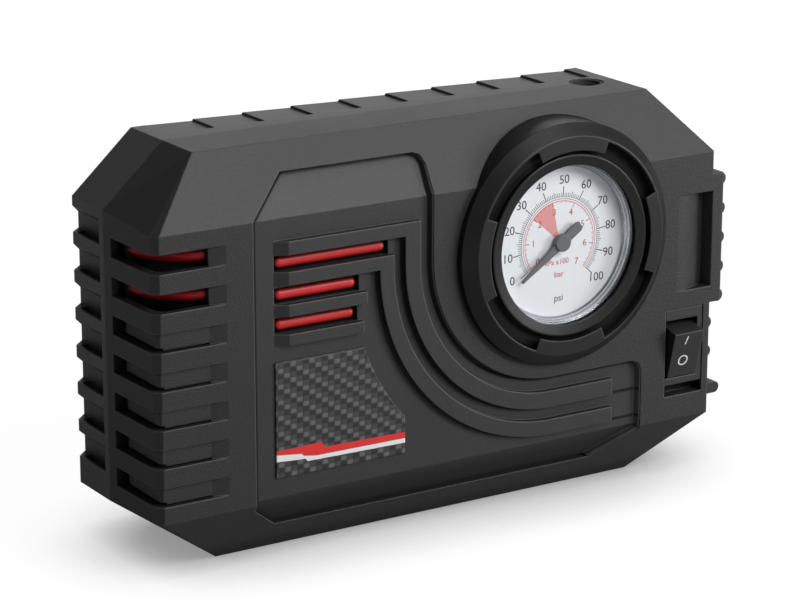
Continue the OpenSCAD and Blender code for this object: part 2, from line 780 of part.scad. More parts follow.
// Slope from the front's surface down to the panel, along a path of [x, z, inward x, inward z]
module edge_slope(path) {
    last = 3 * (len(path) - 1);
    points = [for (p = path) let (x = p[0] + p[2], z = p[1] + p[3], drop = skin_y(z) > 0 ? 1.19 * panel_drop : panel_drop,
                                  out = 0.3 * unit([p[2], p[3]]), x0 = p[0] - out[0], z0 = p[1] - out[1])
        each [[x0, skin_y(p[1]) - 0.3, z0], [x, skin_y(z) + drop + eps, z], [x0, skin_y(p[1]) + drop + 0.6, z0]]];
    sides = [for (i = [0 : len(path) - 2], k = [0 : 2]) let (j = (k + 1) % 3)
        each [[i * 3 + k, i * 3 + j, i * 3 + 3 + j], [i * 3 + k, i * 3 + 3 + j, i * 3 + 3 + k]]];
    polyhedron(points, concat(sides, [[2, 1, 0], [last, last + 1, last + 2]]));
}

module panel_rim() {
    right = panel_right - seat_gap;
    foot = panel_foot + seat_gap;
    neck = panel_neck - seat_gap;
    edge_r = band_edge_r + seat_gap;
    arc_top = band_z - edge_r;
    edge_slope([[panel_right - 15.8, foot, -0.3 * rim_run, 0.7 * rim_run], [right, foot + 7.6, -0.8 * rim_run, 0.5 * rim_run],
                [right, face_low + 2, -rim_run, 0], [right, arc_top - 3.6, -rim_run, 0],
                [right - 1, arc_top - 1.1, -0.8 * rim_run, -0.5 * rim_run], [right - 3.6, arc_top, -0.1, -0.1]]);
    edge_slope(concat(
        [for (a = [240 : -4 : 184]) let (run = rim_run * min(1, (246 - a) / 40))
            [band_x + edge_r * cos(a), band_z + edge_r * sin(a), run * cos(a), run * sin(a)]],
        [[neck, band_z, -rim_run, 0], [neck, face_high, -rim_run, 0], [neck, panel_top - 3.5, -rim_run, -0.2],
         [neck - 1.2, panel_top - 0.9, -0.7 * rim_run, -0.6 * rim_run], [neck - 3.4, panel_top - 0.1, -0.1, -0.1]]));
}

module front_panel() {
    color("#2a2a2c") seat() difference() {
        union() {
            intersection() {
                slab(-1, 30) panel_outline(seat_gap);
                union() {
                    difference() {
                        front_form(panel_drop);
                        front_form(panel_drop + panel_t);
                    }
                    panel_rim();
                }
            }
            for (i = [0 : 1]) slab(0, panel_drop + eps) band(i);
            for (i = [0 : 3])
                translate([0, 0, bar_lows[i]]) linear_extrude(bar_tops[i] - bar_lows[i])
                    polygon([[bar_left, panel_drop + eps], [bar_left + bar_ramp, 0],
                             [bar_rights[i], 0], [bar_rights[i], panel_drop + eps]]);
        }
        vent_windows(0);
    }
}

louvre_r = 1.9;
louvre_plate_y = panel_drop + panel_t + panel_seat + 0.3;

module panel_louvre() {
    color("#b01818") seat() {
        for (i = [0 : 2]) {
            z = vent_lows[i] + vent_h / 2;
            left = vent_left + louvre_r + 0.4;
            right = vent_rights[i] - louvre_r - 0.4;
            bar_x(left, panel_drop + louvre_r + 0.2, z, louvre_r, right - left);
            for (x = [left, right]) translate([x, panel_drop + louvre_r + 0.2, z]) sphere(r = louvre_r);
            translate([left, panel_drop + louvre_r + 0.2, z - 0.8]) cube([right - left, louvre_plate_y - panel_drop - louvre_r, 1.6]);
        }
        translate([vent_left - 2, louvre_plate_y, vent_lows[2] - 3])
            cube([vent_rights[1] + 5 - vent_left, 1.5, vent_lows[0] + vent_h + 3 - vent_lows[2] + 3]);
    }
}

corner_arc_r = 15.9;
corner_tube_r = 2;
corner_arc_c = 20.5;
module corner_louvre() {
    low = slot_z(first_open) - 2;
    top = slot_z(slot_count - 1) + slot_h + 2;
    color("#b01818") seat() {
        translate([corner_arc_c, corner_arc_c, 0]) {
            for (i = [first_open : slot_count - 1])
                translate([0, 0, slot_z(i) + slot_h / 2]) rotate([0, 0, 180])
                    rotate_extrude(angle = 90) translate([corner_arc_r, 0]) circle(r = corner_tube_r, $fn = 32);
            translate([0, 0, low]) rotate([0, 0, 180]) rotate_extrude(angle = 90)
                translate([corner_arc_r - 2.4, 0]) square([1.4, top - low]);
        }
        translate([wall + 0.2, corner_arc_c - 0.5, low]) cube([corner_arc_c - corner_arc_r + 1, 2.5, top - low]);
        translate([corner_arc_c - 0.5, wall + 0.2, low]) cube([2.5, corner_arc_c - corner_arc_r + 1, top - low]);
    }
}

label_t = 0.5;
label_low = 23.2;
module label_plate() {
    label_r = 68.4;
    label_right = band_x - 50.8;
    label_high = band_z - 22.8;
    color("#38383a") seat() slab(panel_drop - label_t - 0.02, label_t) difference() {
        translate([bar_left + 0.2, label_low]) square([label_right - bar_left - 0.2, label_high - label_low]);
        translate([band_x, band_z]) circle(r = label_r, $fn = 128);
    }
}

// --- Gauge ---

module gauge_ring() {
    crest = ring_bore_r + 0.7;
    shoulder_y = -2;
    slots = 4;
    slot_span = 45;
    tooth_t = 0.85;
    color("#29292b") seat() difference() {
        turned([[case_r + 0.4, ring_shelf_y], [ring_bore_r, ring_shelf_y], [ring_bore_r, -ring_proud + tooth_t],
                [tooth_r, -ring_proud + tooth_t], [tooth_r, -ring_proud], [crest, -ring_proud], [ring_r, shoulder_y],
                [ring_r, ring_back], [ring_r - 2.4, ring_back],
                [ring_r - 2.4, ring_shelf_y + ring_shelf_t], [case_r + 0.4, ring_shelf_y + ring_shelf_t]]);
        for (i = [0 : slots - 1])
            translate([gauge_x, 0, gauge_z]) rotate([-90, 0, 0]) rotate([0, 0, i * 90 + 45 - slot_span / 2])
                rotate_extrude(angle = slot_span, $fn = 96) translate([tooth_r - 2, -ring_proud - 1])
                    square([ring_bore_r + 0.1 - tooth_r + 2, tooth_t + 1.1]);
    }
}

module gauge_bezel() {
    crest = case_r + 2.1;
    flange_y = -ring_proud + 2.8;
    color("#1d1d1f") seat()
        turned([[lens_view_r, lens_y - 0.75], [crest - 0.3, -ring_proud + 0.8], [crest + 0.1, -ring_proud + 1],
                [crest + 0.1, flange_y], [ring_bore_r - 0.3, flange_y], [ring_bore_r - 0.3, flange_y + 1.2],
                [crest + 0.5, flange_y + 1.2], [crest + 0.5, ring_shelf_y - 0.05], [case_r + 0.3, ring_shelf_y - 0.05],
                [case_r + 0.3, lens_y - 0.05], [lens_view_r, lens_y - 0.05]]);
}

module gauge_lens() {
    color("#e8eef0", 0.35) seat() bar_y(gauge_x, lens_y, gauge_z, case_r, lens_t, $fn = 96);
}

module gauge_case() {
    inner = case_r - case_wall;
    color("silver") seat() difference() {
        turned([[0, case_back - case_wall], [inner, case_back - case_wall], [inner, case_y], [case_r, case_y],
                [case_r, ring_shelf_y + ring_shelf_t + 0.05], [case_r + 2, ring_shelf_y + ring_shelf_t + 0.05],
                [case_r + 2, ring_shelf_y + ring_shelf_t + 1.2], [case_r, ring_shelf_y + ring_shelf_t + 1.2],
                [case_r, case_back], [0, case_back]]);
        bar_y(stem_x, case_back - 3, stem_z, 3 + seat_gap, 6);
    }
}

module gauge_dial() {
    color("white") seat() difference() {
        bar_y(gauge_x, dial_y, gauge_z, case_r - case_wall - seat_gap, dial_t, $fn = 96);
        bar_y(gauge_x, dial_y - 1, gauge_z, spindle_r + 0.8, dial_t + 2);
    }
}

module movement_frame() {
    pillar_r = 1.2;
    pivot_z = gauge_z - sector_drop;
    // Spots of the pillars, clear of the sector's whole swing
    spots = [[-9, -11.5], [9, -11.5], [-7.5, 6], [7.5, 6]];
    color("goldenrod") seat() {
        difference() {
            for (y = [plate_front_y, plate_back_y])
                slab(y, 0.9) translate([gauge_x - 11, gauge_z - 15]) square([22, 23]);
            bar_y(gauge_x, 0, gauge_z, spindle_r + run_gap, 20);
            bar_y(gauge_x, 0, pivot_z, spindle_r + run_gap, 20);
        }
        for (s = spots) {
            bar_y(gauge_x + s[0], plate_front_y + 0.9, gauge_z + s[1], pillar_r, plate_back_y - plate_front_y - 0.9);
            bar_y(gauge_x + s[0], dial_y + dial_t + 0.05, gauge_z + s[1], pillar_r, plate_front_y - dial_y - dial_t);
            bar_y(gauge_x + s[0], plate_back_y + 0.9, gauge_z + s[1], pillar_r,
                  case_back - case_wall - plate_back_y - 0.95);
        }
    }
}

module bourdon_tube() {
    color("goldenrod") seat() {
        translate([gauge_x, plate_back_y + 4, gauge_z]) rotate([-90, 0, 0]) rotate([0, 0, 90])
            rotate_extrude(angle = 250, $fn = 96) translate([tube_coil_r, 0]) difference() {
                square([2.4, 5], center = true);
                square([1.4, 4], center = true);
            }
    }
}

module gauge_stem() {
    color("#b08d3c") seat() difference() {
        union() {
            bar_y(stem_x, plate_back_y + 7, stem_z, 3, case_back - plate_back_y);
            translate([stem_x - 4, case_back + 0.1, stem_z - 4]) cube([8, 9, 8]);
            bar_x(stem_x + 3.5, stem_y, stem_z, tube_bore - 0.05, 8);
        }
        bar_x(stem_x - 1.2, stem_y, stem_z, 0.9, 20);
        bar_y(stem_x, 0, stem_z, 0.7, stem_y + 0.2);
    }
}

module sector_gear() {
    tooth_first = -5;
    tooth_last = 5;
    r_in = sector_pitch_r - gear_root * movement_module;
    fan = gear_points(sector_teeth, movement_module, movement_play, tooth_first, tooth_last);
    hub_r = 1.6;
    color("gold") seat() difference() {
        union() {
            translate([gauge_x, 0, gauge_z - sector_drop]) rotate([0, sector_swing / 2, 0]) slab(sector_y, sector_t)
                union() {
                    rotate(90) polygon(concat([[0, 0]], fan));
                    circle(r = hub_r);
                    translate([-1, -4]) square([2, 4]);
                }
            bar_y(gauge_x, plate_front_y + 0.1, gauge_z - sector_drop, spindle_r, plate_back_y + 0.7 - plate_front_y);
        }
    }
}

module pointer_spindle() {
    pinion = gear_points(spindle_teeth, movement_module, movement_play, 0, spindle_teeth - 1);
    color("gold") seat() {
        bar_y(gauge_x, needle_y + 0.1, gauge_z, spindle_r, plate_back_y + 0.8 - needle_y);
        translate([gauge_x, 0, gauge_z]) slab(sector_y - 0.1, sector_t + 0.2)
            rotate(-90 + 180 / spindle_teeth + sector_swing / 2 * sector_teeth / spindle_teeth) polygon(pinion);
    }
}

module gauge_needle() {
    tip_r = case_r - 7.7;
    tail = 8;
    color("#303436") seat() translate([gauge_x, 0, gauge_z]) difference() {
        union() {
            slab(needle_y, needle_t) rotate(needle_start)
                polygon([[0, -1.4], [tip_r, -0.35], [tip_r, 0.35], [0, 1.4], [-tail + 1, 1.6], [-tail, 1.1],
                         [-tail, -1.1], [-tail + 1, -1.6]]);
            bar_y(0, needle_y - 0.5, 0, 2.6, needle_t + 0.8);
        }
        bar_y(0, needle_y - 0.1, 0, spindle_r + 0.01, 10);
    }
}

// --- Rocker switch ---

module switch_housing() {
    flange_w = 13.8;
    flange_left = pocket_left + pocket_w - seat_gap - flange_w;
    flange_low = rocker_z - switch_body_h / 2 - 1;
    flange_high = pocket_high - seat_gap;
    inner_w = rocker_w + 0.4;
    strip_left = switch_x + inner_w / 2;
    band_low = rocker_z - 11.4;
    color("#18181a") seat() difference() {
        union() {
            translate([flange_left, pocket_deep - flange_t, flange_low])
                cube([flange_w, flange_t, flange_high - flange_low]);
            // Raised strip on the right and bands above and below the rocker
            translate([strip_left, 0.3, band_low])
                cube([flange_left + flange_w - strip_left, pocket_deep - 0.3, flange_high - band_low]);
            translate([flange_left, 0.3, rocker_z + 9.1])
                cube([flange_w, pocket_deep - 0.3, flange_high - rocker_z - 9.1]);
            translate([flange_left, 0.3, band_low]) cube([flange_w, pocket_deep - 0.3, 2.2]);
            translate([switch_x - switch_body_w / 2, pocket_deep - 0.1, switch_body_low])
                cube([switch_body_w, switch_depth, switch_body_h]);
        }
        translate([switch_x - inner_w / 2, -1, switch_body_low + 0.5])
            cube([inner_w, rocker_y + 8.5, switch_body_h - 1]);
        bar_x(switch_x - inner_w / 2 - 0.5, rocker_y, rocker_z, rocker_pin_r + run_gap, inner_w + 1);
    }
}

module rocker() {
    half = rocker_h / 2;
    face = 6.8;
    color("#202022") seat() {
        translate([switch_x - rocker_w / 2, rocker_y, rocker_z]) rotate([rocker_tilt, 0, 0])
            cross_slab(0, rocker_w) polygon([[-face, -half], [-face, half], [-2.5, half], [0.5, half + 0.2],
                [2.4, 2], [2.4, -2], [0.5, -half - 0.2], [-2.5, -half]]);
        bar_x(switch_x - rocker_w / 2 - 0.5, rocker_y, rocker_z, rocker_pin_r, rocker_w + 1);
    }
}

module switch_terminals() {
    back = pocket_deep + switch_depth - 0.1;
    color("#c8b070") seat() for (z = [rocker_z - 5, rocker_z + 5])
        translate([switch_x - 2.4, back, z - 0.4]) cube([4.8, 7, 0.8]);
}

// --- Motor ---

module motor_can() {
    color("#8a8c90") seat() difference() {
        bar_x(can_left, drive_y, motor_z, can_r, can_len);
        bar_x(can_left - 1, drive_y, motor_z, can_r - can_wall, can_len + 1 - can_wall);
        bar_x(can_left, drive_y, motor_z, 4, can_len + 5);
        for (s = [-1, 1]) bar_x(can_left, drive_y + s * motor_screw_y, motor_z, motor_screw_r + 0.05, can_len + 5);
    }
}

module motor_end_cap() {
    color("#202022") seat() difference() {
        union() {
            bar_x(can_left - cap_t, drive_y, motor_z, can_r, cap_t - 0.05);
            bar_x(can_left - 0.1, drive_y, motor_z, can_r - can_wall - seat_gap, 2);
        }
        bar_x(can_left - cap_t - 1, drive_y, motor_z, 4, 20);
    }
}

module field_magnets() {
    inner = core_r + 0.5;
    outer = can_r - can_wall - 0.05;
    color("#3a3c40") seat() for (s = [-1, 1])
        intersection() {
            difference() {
                bar_x(core_left - 1, drive_y, motor_z, outer, core_len + 2);
                bar_x(core_left - 2, drive_y, motor_z, inner, core_len + 4);
            }
            translate([can_left, drive_y + (s > 0 ? 5 : -25), motor_z - 25]) cube([can_len, 20, 50]);
        }
}

module motor_bushes() {
    color("#b08d3c") seat() for (x = [can_left - cap_t + 0.5, can_right - can_wall - 3]) difference() {
        bar_x(x, drive_y, motor_z, 4 - 0.02, 4);
        bar_x(x - 1, drive_y, motor_z, shaft_r + run_gap, 8);
    }
}

commutator_r = 4.4;
brush_w = 3;
module motor_brushes() {
    x = can_left + 4;
    color("#3c3c3e") seat() for (s = [-1, 1])
        translate([x, drive_y - brush_w / 2, s > 0 ? motor_z + commutator_r + 0.05 : motor_z - can_r + can_wall + 0.15])
            cube([4, brush_w, can_r - can_wall - commutator_r - 0.2]);
}

module motor_screws() {
    color("silver") seat() for (s = [-1, 1]) {
        bar_x(can_right - can_wall - 0.5, drive_y + s * motor_screw_y, motor_z, motor_screw_r, frame_t + 2);
        bar_x(frame_right + 0.02, drive_y + s * motor_screw_y, motor_z, motor_head_r, 1.6);
    }
}

module motor_cushion() {
    color("#1a1a1a") seat() difference() {
        bar_x(can_left + 8, drive_y, motor_z, cushion_r, cushion_w);
        bar_x(can_left, drive_y, motor_z, can_r + 0.05, cushion_w + 10);
    }
}

module armature_core() {
    slots = 5;
    color("#70747a") seat() difference() {
        bar_x(core_left, drive_y, motor_z, core_r, core_len);
        bar_x(core_left - 1, drive_y, motor_z, shaft_r, core_len + 2);
        for (i = [0 : slots - 1])
            translate([core_left - 1, drive_y, motor_z]) rotate([i * 360 / slots, 0, 0])
                translate([0, -1.2, 7]) cube([core_len + 2, 2.4, 10]);
    }
}

module armature_windings() {
    color("#b5651d") seat() for (x = [core_left - 3.1, core_left + core_len + 0.1]) difference() {
        bar_x(x, drive_y, motor_z, core_r - 1.6, 3);
        bar_x(x - 1, drive_y, motor_z, shaft_r, 5);
    }
}

module commutator() {
    bars = 5;
    color("#c07038") seat() difference() {
        bar_x(can_left + 3, drive_y, motor_z, commutator_r, 7);
        bar_x(can_left, drive_y, motor_z, shaft_r, 20);
        for (i = [0 : bars - 1])
            translate([can_left + 2, drive_y, motor_z]) rotate([i * 360 / bars, 0, 0])
                translate([0, -0.2, commutator_r - 0.6]) cube([9, 0.4, 2]);
    }
}

module motor_shaft() {
    color("#b8bcc0") seat() bar_x(can_left - cap_t + 0.8, drive_y, motor_z, shaft_r, shaft_right - can_left + cap_t - 0.8);
}

module motor_pinion() {
    color("#b08d3c") seat() translate([0, drive_y, motor_z]) difference() {
        cross_slab(pinion_left, gear_w + 1) rotate(90 + 180 / pinion_teeth)
            polygon(gear_points(pinion_teeth, gear_module, gear_play, 0, pinion_teeth - 1));
        bar_x(pinion_left - 1, 0, 0, shaft_r, gear_w + 3);
    }
}

// --- Gearbox, crank and piston ---

module gearbox_frame() {
    plate_w = 32;
    foot_w = 27;
    foot_z = 6;
    color("#9a9da2") seat() difference() {
        union() {
            translate([0, drive_y, 0]) cross_slab(frame_left, frame_t)
                polygon([[-foot_w / 2, foot_z], [foot_w / 2, foot_z], [plate_w / 2, foot_z + 6],
                         [plate_w / 2, arm_z + frame_t], [-plate_w / 2, arm_z + frame_t], [-plate_w / 2, foot_z + 6]]);
            translate([frame_left, drive_y - plate_w / 2, arm_z]) cube([arm_right - frame_left, plate_w, frame_t]);
            translate([frame_left, drive_y - foot_w / 2, foot_z]) cube([7, foot_w, 3]);
        }
        bar_x(frame_left - 1, drive_y, motor_z, 5, frame_t + 2);
        bar_x(frame_left - 1, drive_y, gear_z, axle_r + 0.01, frame_t + 2);
        for (s = [-1, 1])
            bar_x(frame_left - 1, drive_y + s * motor_screw_y, motor_z, motor_screw_r + 0.05, frame_t + 2);
        bar_z(rod_mid, drive_y, arm_z - 1, bore_r + barrel_wall + 0.02, frame_t + 2);
        for (sx = [-1, 1], sy = [-1, 1])
            bar_z(rod_mid + sx * head_screw_r * 0.75, drive_y + sy * head_screw_r, arm_z - 1, motor_screw_r + 0.05, frame_t + 2);
    }
}

module frame_cushions() {
    color("#1a1a1a") seat() for (s = [-1, 1])
        translate([frame_left, drive_y + s * 9 - 4, wall + 0.1]) cube([7, 8, 6 - wall - 0.15]);
}

module gear_axle() {
    color("#b8bcc0") seat() {
        bar_x(frame_left - 0.1, drive_y, gear_z, axle_r, gear_right + 1.1 - frame_left);
        bar_x(frame_left - 1.6, drive_y, gear_z, axle_r + 1.2, 1.55);
    }
}

module gear_bush() {
    color("#b08d3c") seat() difference() {
        bar_x(gear_left - 1.5, drive_y, gear_z, axle_r + 2, gear_w + 2);
        bar_x(gear_left - 4, drive_y, gear_z, axle_r + run_gap, gear_w + 8);
    }
}

module drive_gear() {
    web_r = gear_pitch_r - 3;
    color("#e8e6de") seat() difference() {
        union() {
            translate([0, drive_y, gear_z])
                cross_slab(gear_left, gear_w) polygon(gear_points(gear_teeth, gear_module, gear_play, 0, gear_teeth - 1));
            bar_x(gear_right - 1, drive_y, gear_z + crank_r, crank_boss_r, crank_boss_h + 1);
            // Counterweight opposite the crank
            intersection() {
                bar_x(gear_right - 1, drive_y, gear_z, web_r - 1, crank_boss_h);
                translate([gear_left, drive_y - 12, gear_z - 25]) cube([20, 24, 16]);
            }
        }
        bar_x(gear_left - 1, drive_y, gear_z, axle_r + 2 + 0.01, gear_w + 1.6);
        bar_x(gear_left, drive_y, gear_z, axle_r + 0.5, gear_w + 10);
        // Lightening holes through the web
        for (a = [60, 120, 240, 300])
            translate([0, drive_y, gear_z]) rotate([a, 0, 0]) bar_x(gear_left - 1, 0, 11, 3, gear_w + 0.5);
    }
}

module crank_screw() {
    color("#b8bcc0") seat() {
        bar_x(crank_face + rod_gap, drive_y, pin_z, pin_r, rod_right - crank_face + 0.2);
        bar_x(rod_right + 0.2, drive_y, pin_z, 4.2, 2.4);
    }
}

module rod_bearing() {
    color("silver") seat() difference() {
        bar_x(rod_left, drive_y, pin_z, bearing_r, rod_w);
        bar_x(rod_left - 1, drive_y, pin_z, pin_r + 0.01, rod_w + 2);
    }
}

module connecting_rod() {
    beam_w = 7;
    piston_r = bore_r - 0.5;
    color("#d8d8d4") seat() {
        difference() {
            union() {
                bar_x(rod_left, drive_y, pin_z, big_end_r, rod_w);
                translate([rod_left + 0.5, drive_y - beam_w / 2, pin_z + 6]) cube([rod_w - 1, beam_w, rod_len - 5]);
            }
            bar_x(rod_left - 1, drive_y, pin_z, bearing_r + 0.01, rod_w + 2);
            for (s = [-1, 1])
                translate([s > 0 ? rod_right - 1.6 : rod_left - 1, drive_y - 2, pin_z + 10])
                    cube([2.6, 4, rod_len - 14]);
        }
        bar_z(rod_mid, drive_y, piston_seat_z, piston_r, piston_t - 1);
        bar_z(rod_mid, drive_y, piston_seat_z, piston_r - 2.5, piston_t + seal_t - 1);
        bar_z(rod_mid, drive_y, piston_seat_z + piston_t + seal_t - 1.5, piston_r - 1, 1);
    }
}

module piston_seal() {
    piston_r = bore_r - 0.5;
    color("#2a2018") seat() difference() {
        bar_z(rod_mid, drive_y, piston_seat_z + piston_t - 0.98, bore_r - run_gap, seal_t - 0.55);
        bar_z(rod_mid, drive_y, piston_seat_z, piston_r - 2.49, 20);
    }
}

module cylinder_corners(r, h) {
    for (sx = [-1, 1], sy = [-1, 1])
        bar_z(rod_mid + sx * head_screw_r * 0.75, drive_y + sy * head_screw_r, h[0], r, h[1]);
}

module cylinder_barrel() {
    barrel_r = bore_r + barrel_wall;
    fin_low = arm_z + frame_t + 0.05;
    fin_space = barrel_top - fin_low - 2;
    fins = max(1, min(fin_count, floor(fin_space / 2.8)));
    fin_step = fin_space / fins;
    color("#a8abb0") seat() difference() {
        union() {
            bar_z(rod_mid, drive_y, arm_z + 0.2, barrel_r, barrel_len - 0.2);
            for (i = [0 : fins]) bar_z(rod_mid, drive_y, fin_low + i * fin_step, fin_r, 1.4);
            cylinder_corners(3, [fin_low, barrel_top - fin_low]);
            bar_z(rod_mid, drive_y, barrel_top - 2, fin_r, 2);
        }
        bar_z(rod_mid, drive_y, arm_z - 1, bore_r, barrel_len + 2);
        cylinder_corners(motor_screw_r + 0.05, [arm_z - 1, barrel_len + 5]);
    }
}

module head_gasket() {
    color("#705030") seat() difference() {
        union() {
            bar_z(rod_mid, drive_y, barrel_top, fin_r, gasket_t);
            cylinder_corners(3, [barrel_top, gasket_t]);
        }
        bar_z(rod_mid, drive_y, barrel_top - 1, bore_r, gasket_t + 2);
        cylinder_corners(motor_screw_r + 0.05, [barrel_top - 1, gasket_t + 2]);
    }
}

module cylinder_head() {
    barb_x = rod_mid + fin_r - 2;
    color("#a8abb0") seat() difference() {
        union() {
            bar_z(rod_mid, drive_y, head_low, fin_r, head_h - 4);
            bar_z(rod_mid, drive_y, head_low, fin_r - 4, head_h);
            cylinder_corners(3, [head_low, head_h - 4]);
            bar_x(rod_mid, drive_y, tube_z, 3.6, fin_r + 0.5);
            bar_x(barb_x, drive_y, tube_z, tube_bore - 0.05, 9);
        }
        bar_z(rod_mid, drive_y, head_low - 1, port_r, 10);
        bar_z(rod_mid, drive_y, valve_z, valve_chamber_r, valve_chamber_top - valve_z);
        bar_x(rod_mid, drive_y, tube_z, 0.8, 40);
        cylinder_corners(motor_screw_r + 0.05, [head_low - 1, head_h + 2]);
    }
}

module head_screws() {
    top = head_low + head_h - 4 + 0.02;
    color("silver") seat() {
        cylinder_corners(motor_screw_r, [arm_z + 0.5, top - arm_z]);
        cylinder_corners(motor_head_r, [top, 1.8]);
    }
}

module valve_disc() {
    color("#303030") seat() difference() {
        bar_z(rod_mid, drive_y, valve_z + 0.02, valve_r, valve_t);
        bar_z(rod_mid, drive_y, valve_z + 0.5, 1.2, 4);
    }
}

// Coil spring that holds the valve disc on its port
module valve_spring() {
    low = valve_z + valve_t + 0.25;
    high = valve_chamber_top - 0.25;
    turns = 4;
    per_turn = 16;
    coil_r = 2.5;
    wire_r = 0.22;
    path = [for (i = [0 : turns * per_turn]) let (a = i * 360 / per_turn)
        [rod_mid + coil_r * cos(a), drive_y + coil_r * sin(a), low + (high - low) * i / turns / per_turn]];
    color("silver") seat() swept_tube(path, wire_r, 0);
}

// --- Air path and wiring ---

module air_tube() {
    left = rod_mid + fin_r + 1;
    right = outlet_x - tee_w / 2 - 0.3;
    color("#50545a", 0.8) seat() difference() {
        bar_x(left, drive_y, tube_z, tube_r, right - left);
        bar_x(left - 1, drive_y, tube_z, tube_bore, right - left + 2);
    }
}

socket_r = 1.9;
spigot_r = tail_r - 0.6;
spigot_low = tee_z + tee_h / 2 - 2.4;
module hose_tail() {
    color("#c8a850") seat() difference() {
        union() {
            translate([outlet_x - tee_w / 2, outlet_y - tee_w / 2 + 0.1, tee_z - tee_h / 2])
                cube([tee_w, tee_w - 0.2, tee_h]);
            bar_x(outlet_x - tee_w / 2 - 7, drive_y, tee_z, tube_bore - 0.05, 10);
            bar_z(outlet_x, outlet_y, tee_z - tee_h / 2 - 7, tube_bore - 0.05, 10);
        }
        bar_z(outlet_x, outlet_y, tee_z - 30, 0.8, 30);
        bar_z(outlet_x, outlet_y, tee_z - 1, 0.8, 60);
        bar_z(outlet_x, outlet_y, spigot_low, spigot_r + 0.05, 60);
        bar_x(outlet_x - 30, drive_y, tee_z, 0.8, 30.5);
    }
}

// Upright socket for the hose's sleeve, with a spigot in the tee
module hose_socket() {
    low = tee_z + tee_h / 2 + 0.05;
    color("#d0b468") seat() difference() {
        union() {
            bar_z(outlet_x, outlet_y, low, tail_r, tail_top - low);
            bar_z(outlet_x, outlet_y, spigot_low + 0.05, spigot_r, low - spigot_low);
        }
        bar_z(outlet_x, outlet_y, spigot_low - 1, socket_r, 60);
    }
}

gauge_tube_path = [
    [outlet_x, outlet_y, tee_z - tee_h / 2 - 0.5],
    [outlet_x, outlet_y, tee_z - tee_h / 2 - 4],
    [outlet_x, outlet_y, tee_z - tee_h / 2 - 12],
    [outlet_x, outlet_y - 1, stem_z + 14],
    [outlet_x - 1.5, outlet_y - 3, stem_z + 6],
    [outlet_x - 6, stem_y + 1, stem_z + 1],
    [outlet_x - 13, stem_y, stem_z],
    [stem_x + 9, stem_y, stem_z],
    [stem_x + 4.3, stem_y, stem_z]
];

module gauge_tube() {
    color("#50545a", 0.8) seat() swept_tube(smooth(gauge_tube_path, 4), tube_r, tube_bore);
}

module hose_grommet() {
    top = body_h + 0.2;
    t = 1.2;
    color("#141414") seat() difference() {
        bar_z(outlet_x, outlet_y, top - wall - 1.6, outlet_r - 0.05, wall + 1.2);
        bar_z(outlet_x, outlet_y, tee_z, tail_r + 0.05, 60);
        bar_z(outlet_x, outlet_y, top - 1.2, outlet_r - t, 5);
    }
}

module cord_gland() {
    outer = body_w + side_flare + 1;
    color("#141414") seat() difference() {
        union() {
            bar_x(body_w - 8, gland_y, gland_z, gland_r - 0.05, outer - body_w + 8);
            bar_x(body_w - 8, gland_y, gland_z, gland_r + 1.5, 2.8);
        }
        bar_x(body_w - 12, gland_y, gland_z, gland_bore, 40);
    }
}

lead_r = 0.9;
lead_z = 6.2;
module motor_leads() {
    start_y = pocket_deep + switch_depth + 7.2;
    cap_x = can_left - cap_t - 0.15;
    color("#a01818") seat() for (s = [0, 1]) {
        z = rocker_z + (s > 0 ? 5 : -5);
        run_y = 44.7 + s * 2.3;
        end_y = 32 + s * 6;
        swept_tube(smooth([
            [switch_x - 0.5, start_y, z], [switch_x - 0.5, start_y + 2, z], [switch_x - 3, start_y + 7, z - 2],
            [body_w - 18, run_y - 2, z - 7], [body_w - 28, run_y, 20], [gauge_x + 5, run_y, 15],
            [gauge_x - 23, run_y, 15], [rod_mid + 7, run_y, 11], [rod_mid - 3, run_y, lead_z + 0.6],
            [frame_right + 2, run_y, lead_z], [(frame_left + can_left) / 2, run_y, lead_z],
            [can_left + 6, run_y, lead_z], [can_left - 4, run_y - 2, 8.5], [can_left - 10, end_y + 3, 12.5],
            [can_left - 8.5, end_y, 14], [cap_x - 1, end_y, 14], [cap_x, end_y, 14]
        ], 4), lead_r, 0);
    }
}

front_shell();
rear_shell();
front_panel();
panel_louvre();
corner_louvre();
label_plate();
case_screws();
gauge_ring();
gauge_bezel();
gauge_lens();
gauge_dial();
gauge_case();
movement_frame();
bourdon_tube();
gauge_stem();
sector_gear();
pointer_spindle();
gauge_needle();
switch_housing();
switch_terminals();
rocker();
motor_can();
motor_end_cap();
field_magnets();
motor_bushes();
motor_brushes();
motor_screws();
motor_cushion();
armature_core();
armature_windings();
commutator();
motor_shaft();
motor_pinion();
gearbox_frame();
frame_cushions();
gear_axle();
drive_gear();
gear_bush();
crank_screw();
rod_bearing();
connecting_rod();
piston_seal();
cylinder_barrel();
head_gasket();
cylinder_head();
head_screws();
valve_disc();
valve_spring();
air_tube();
hose_tail();
hose_socket();
gauge_tube();
hose_grommet();
cord_gland();
motor_leads();
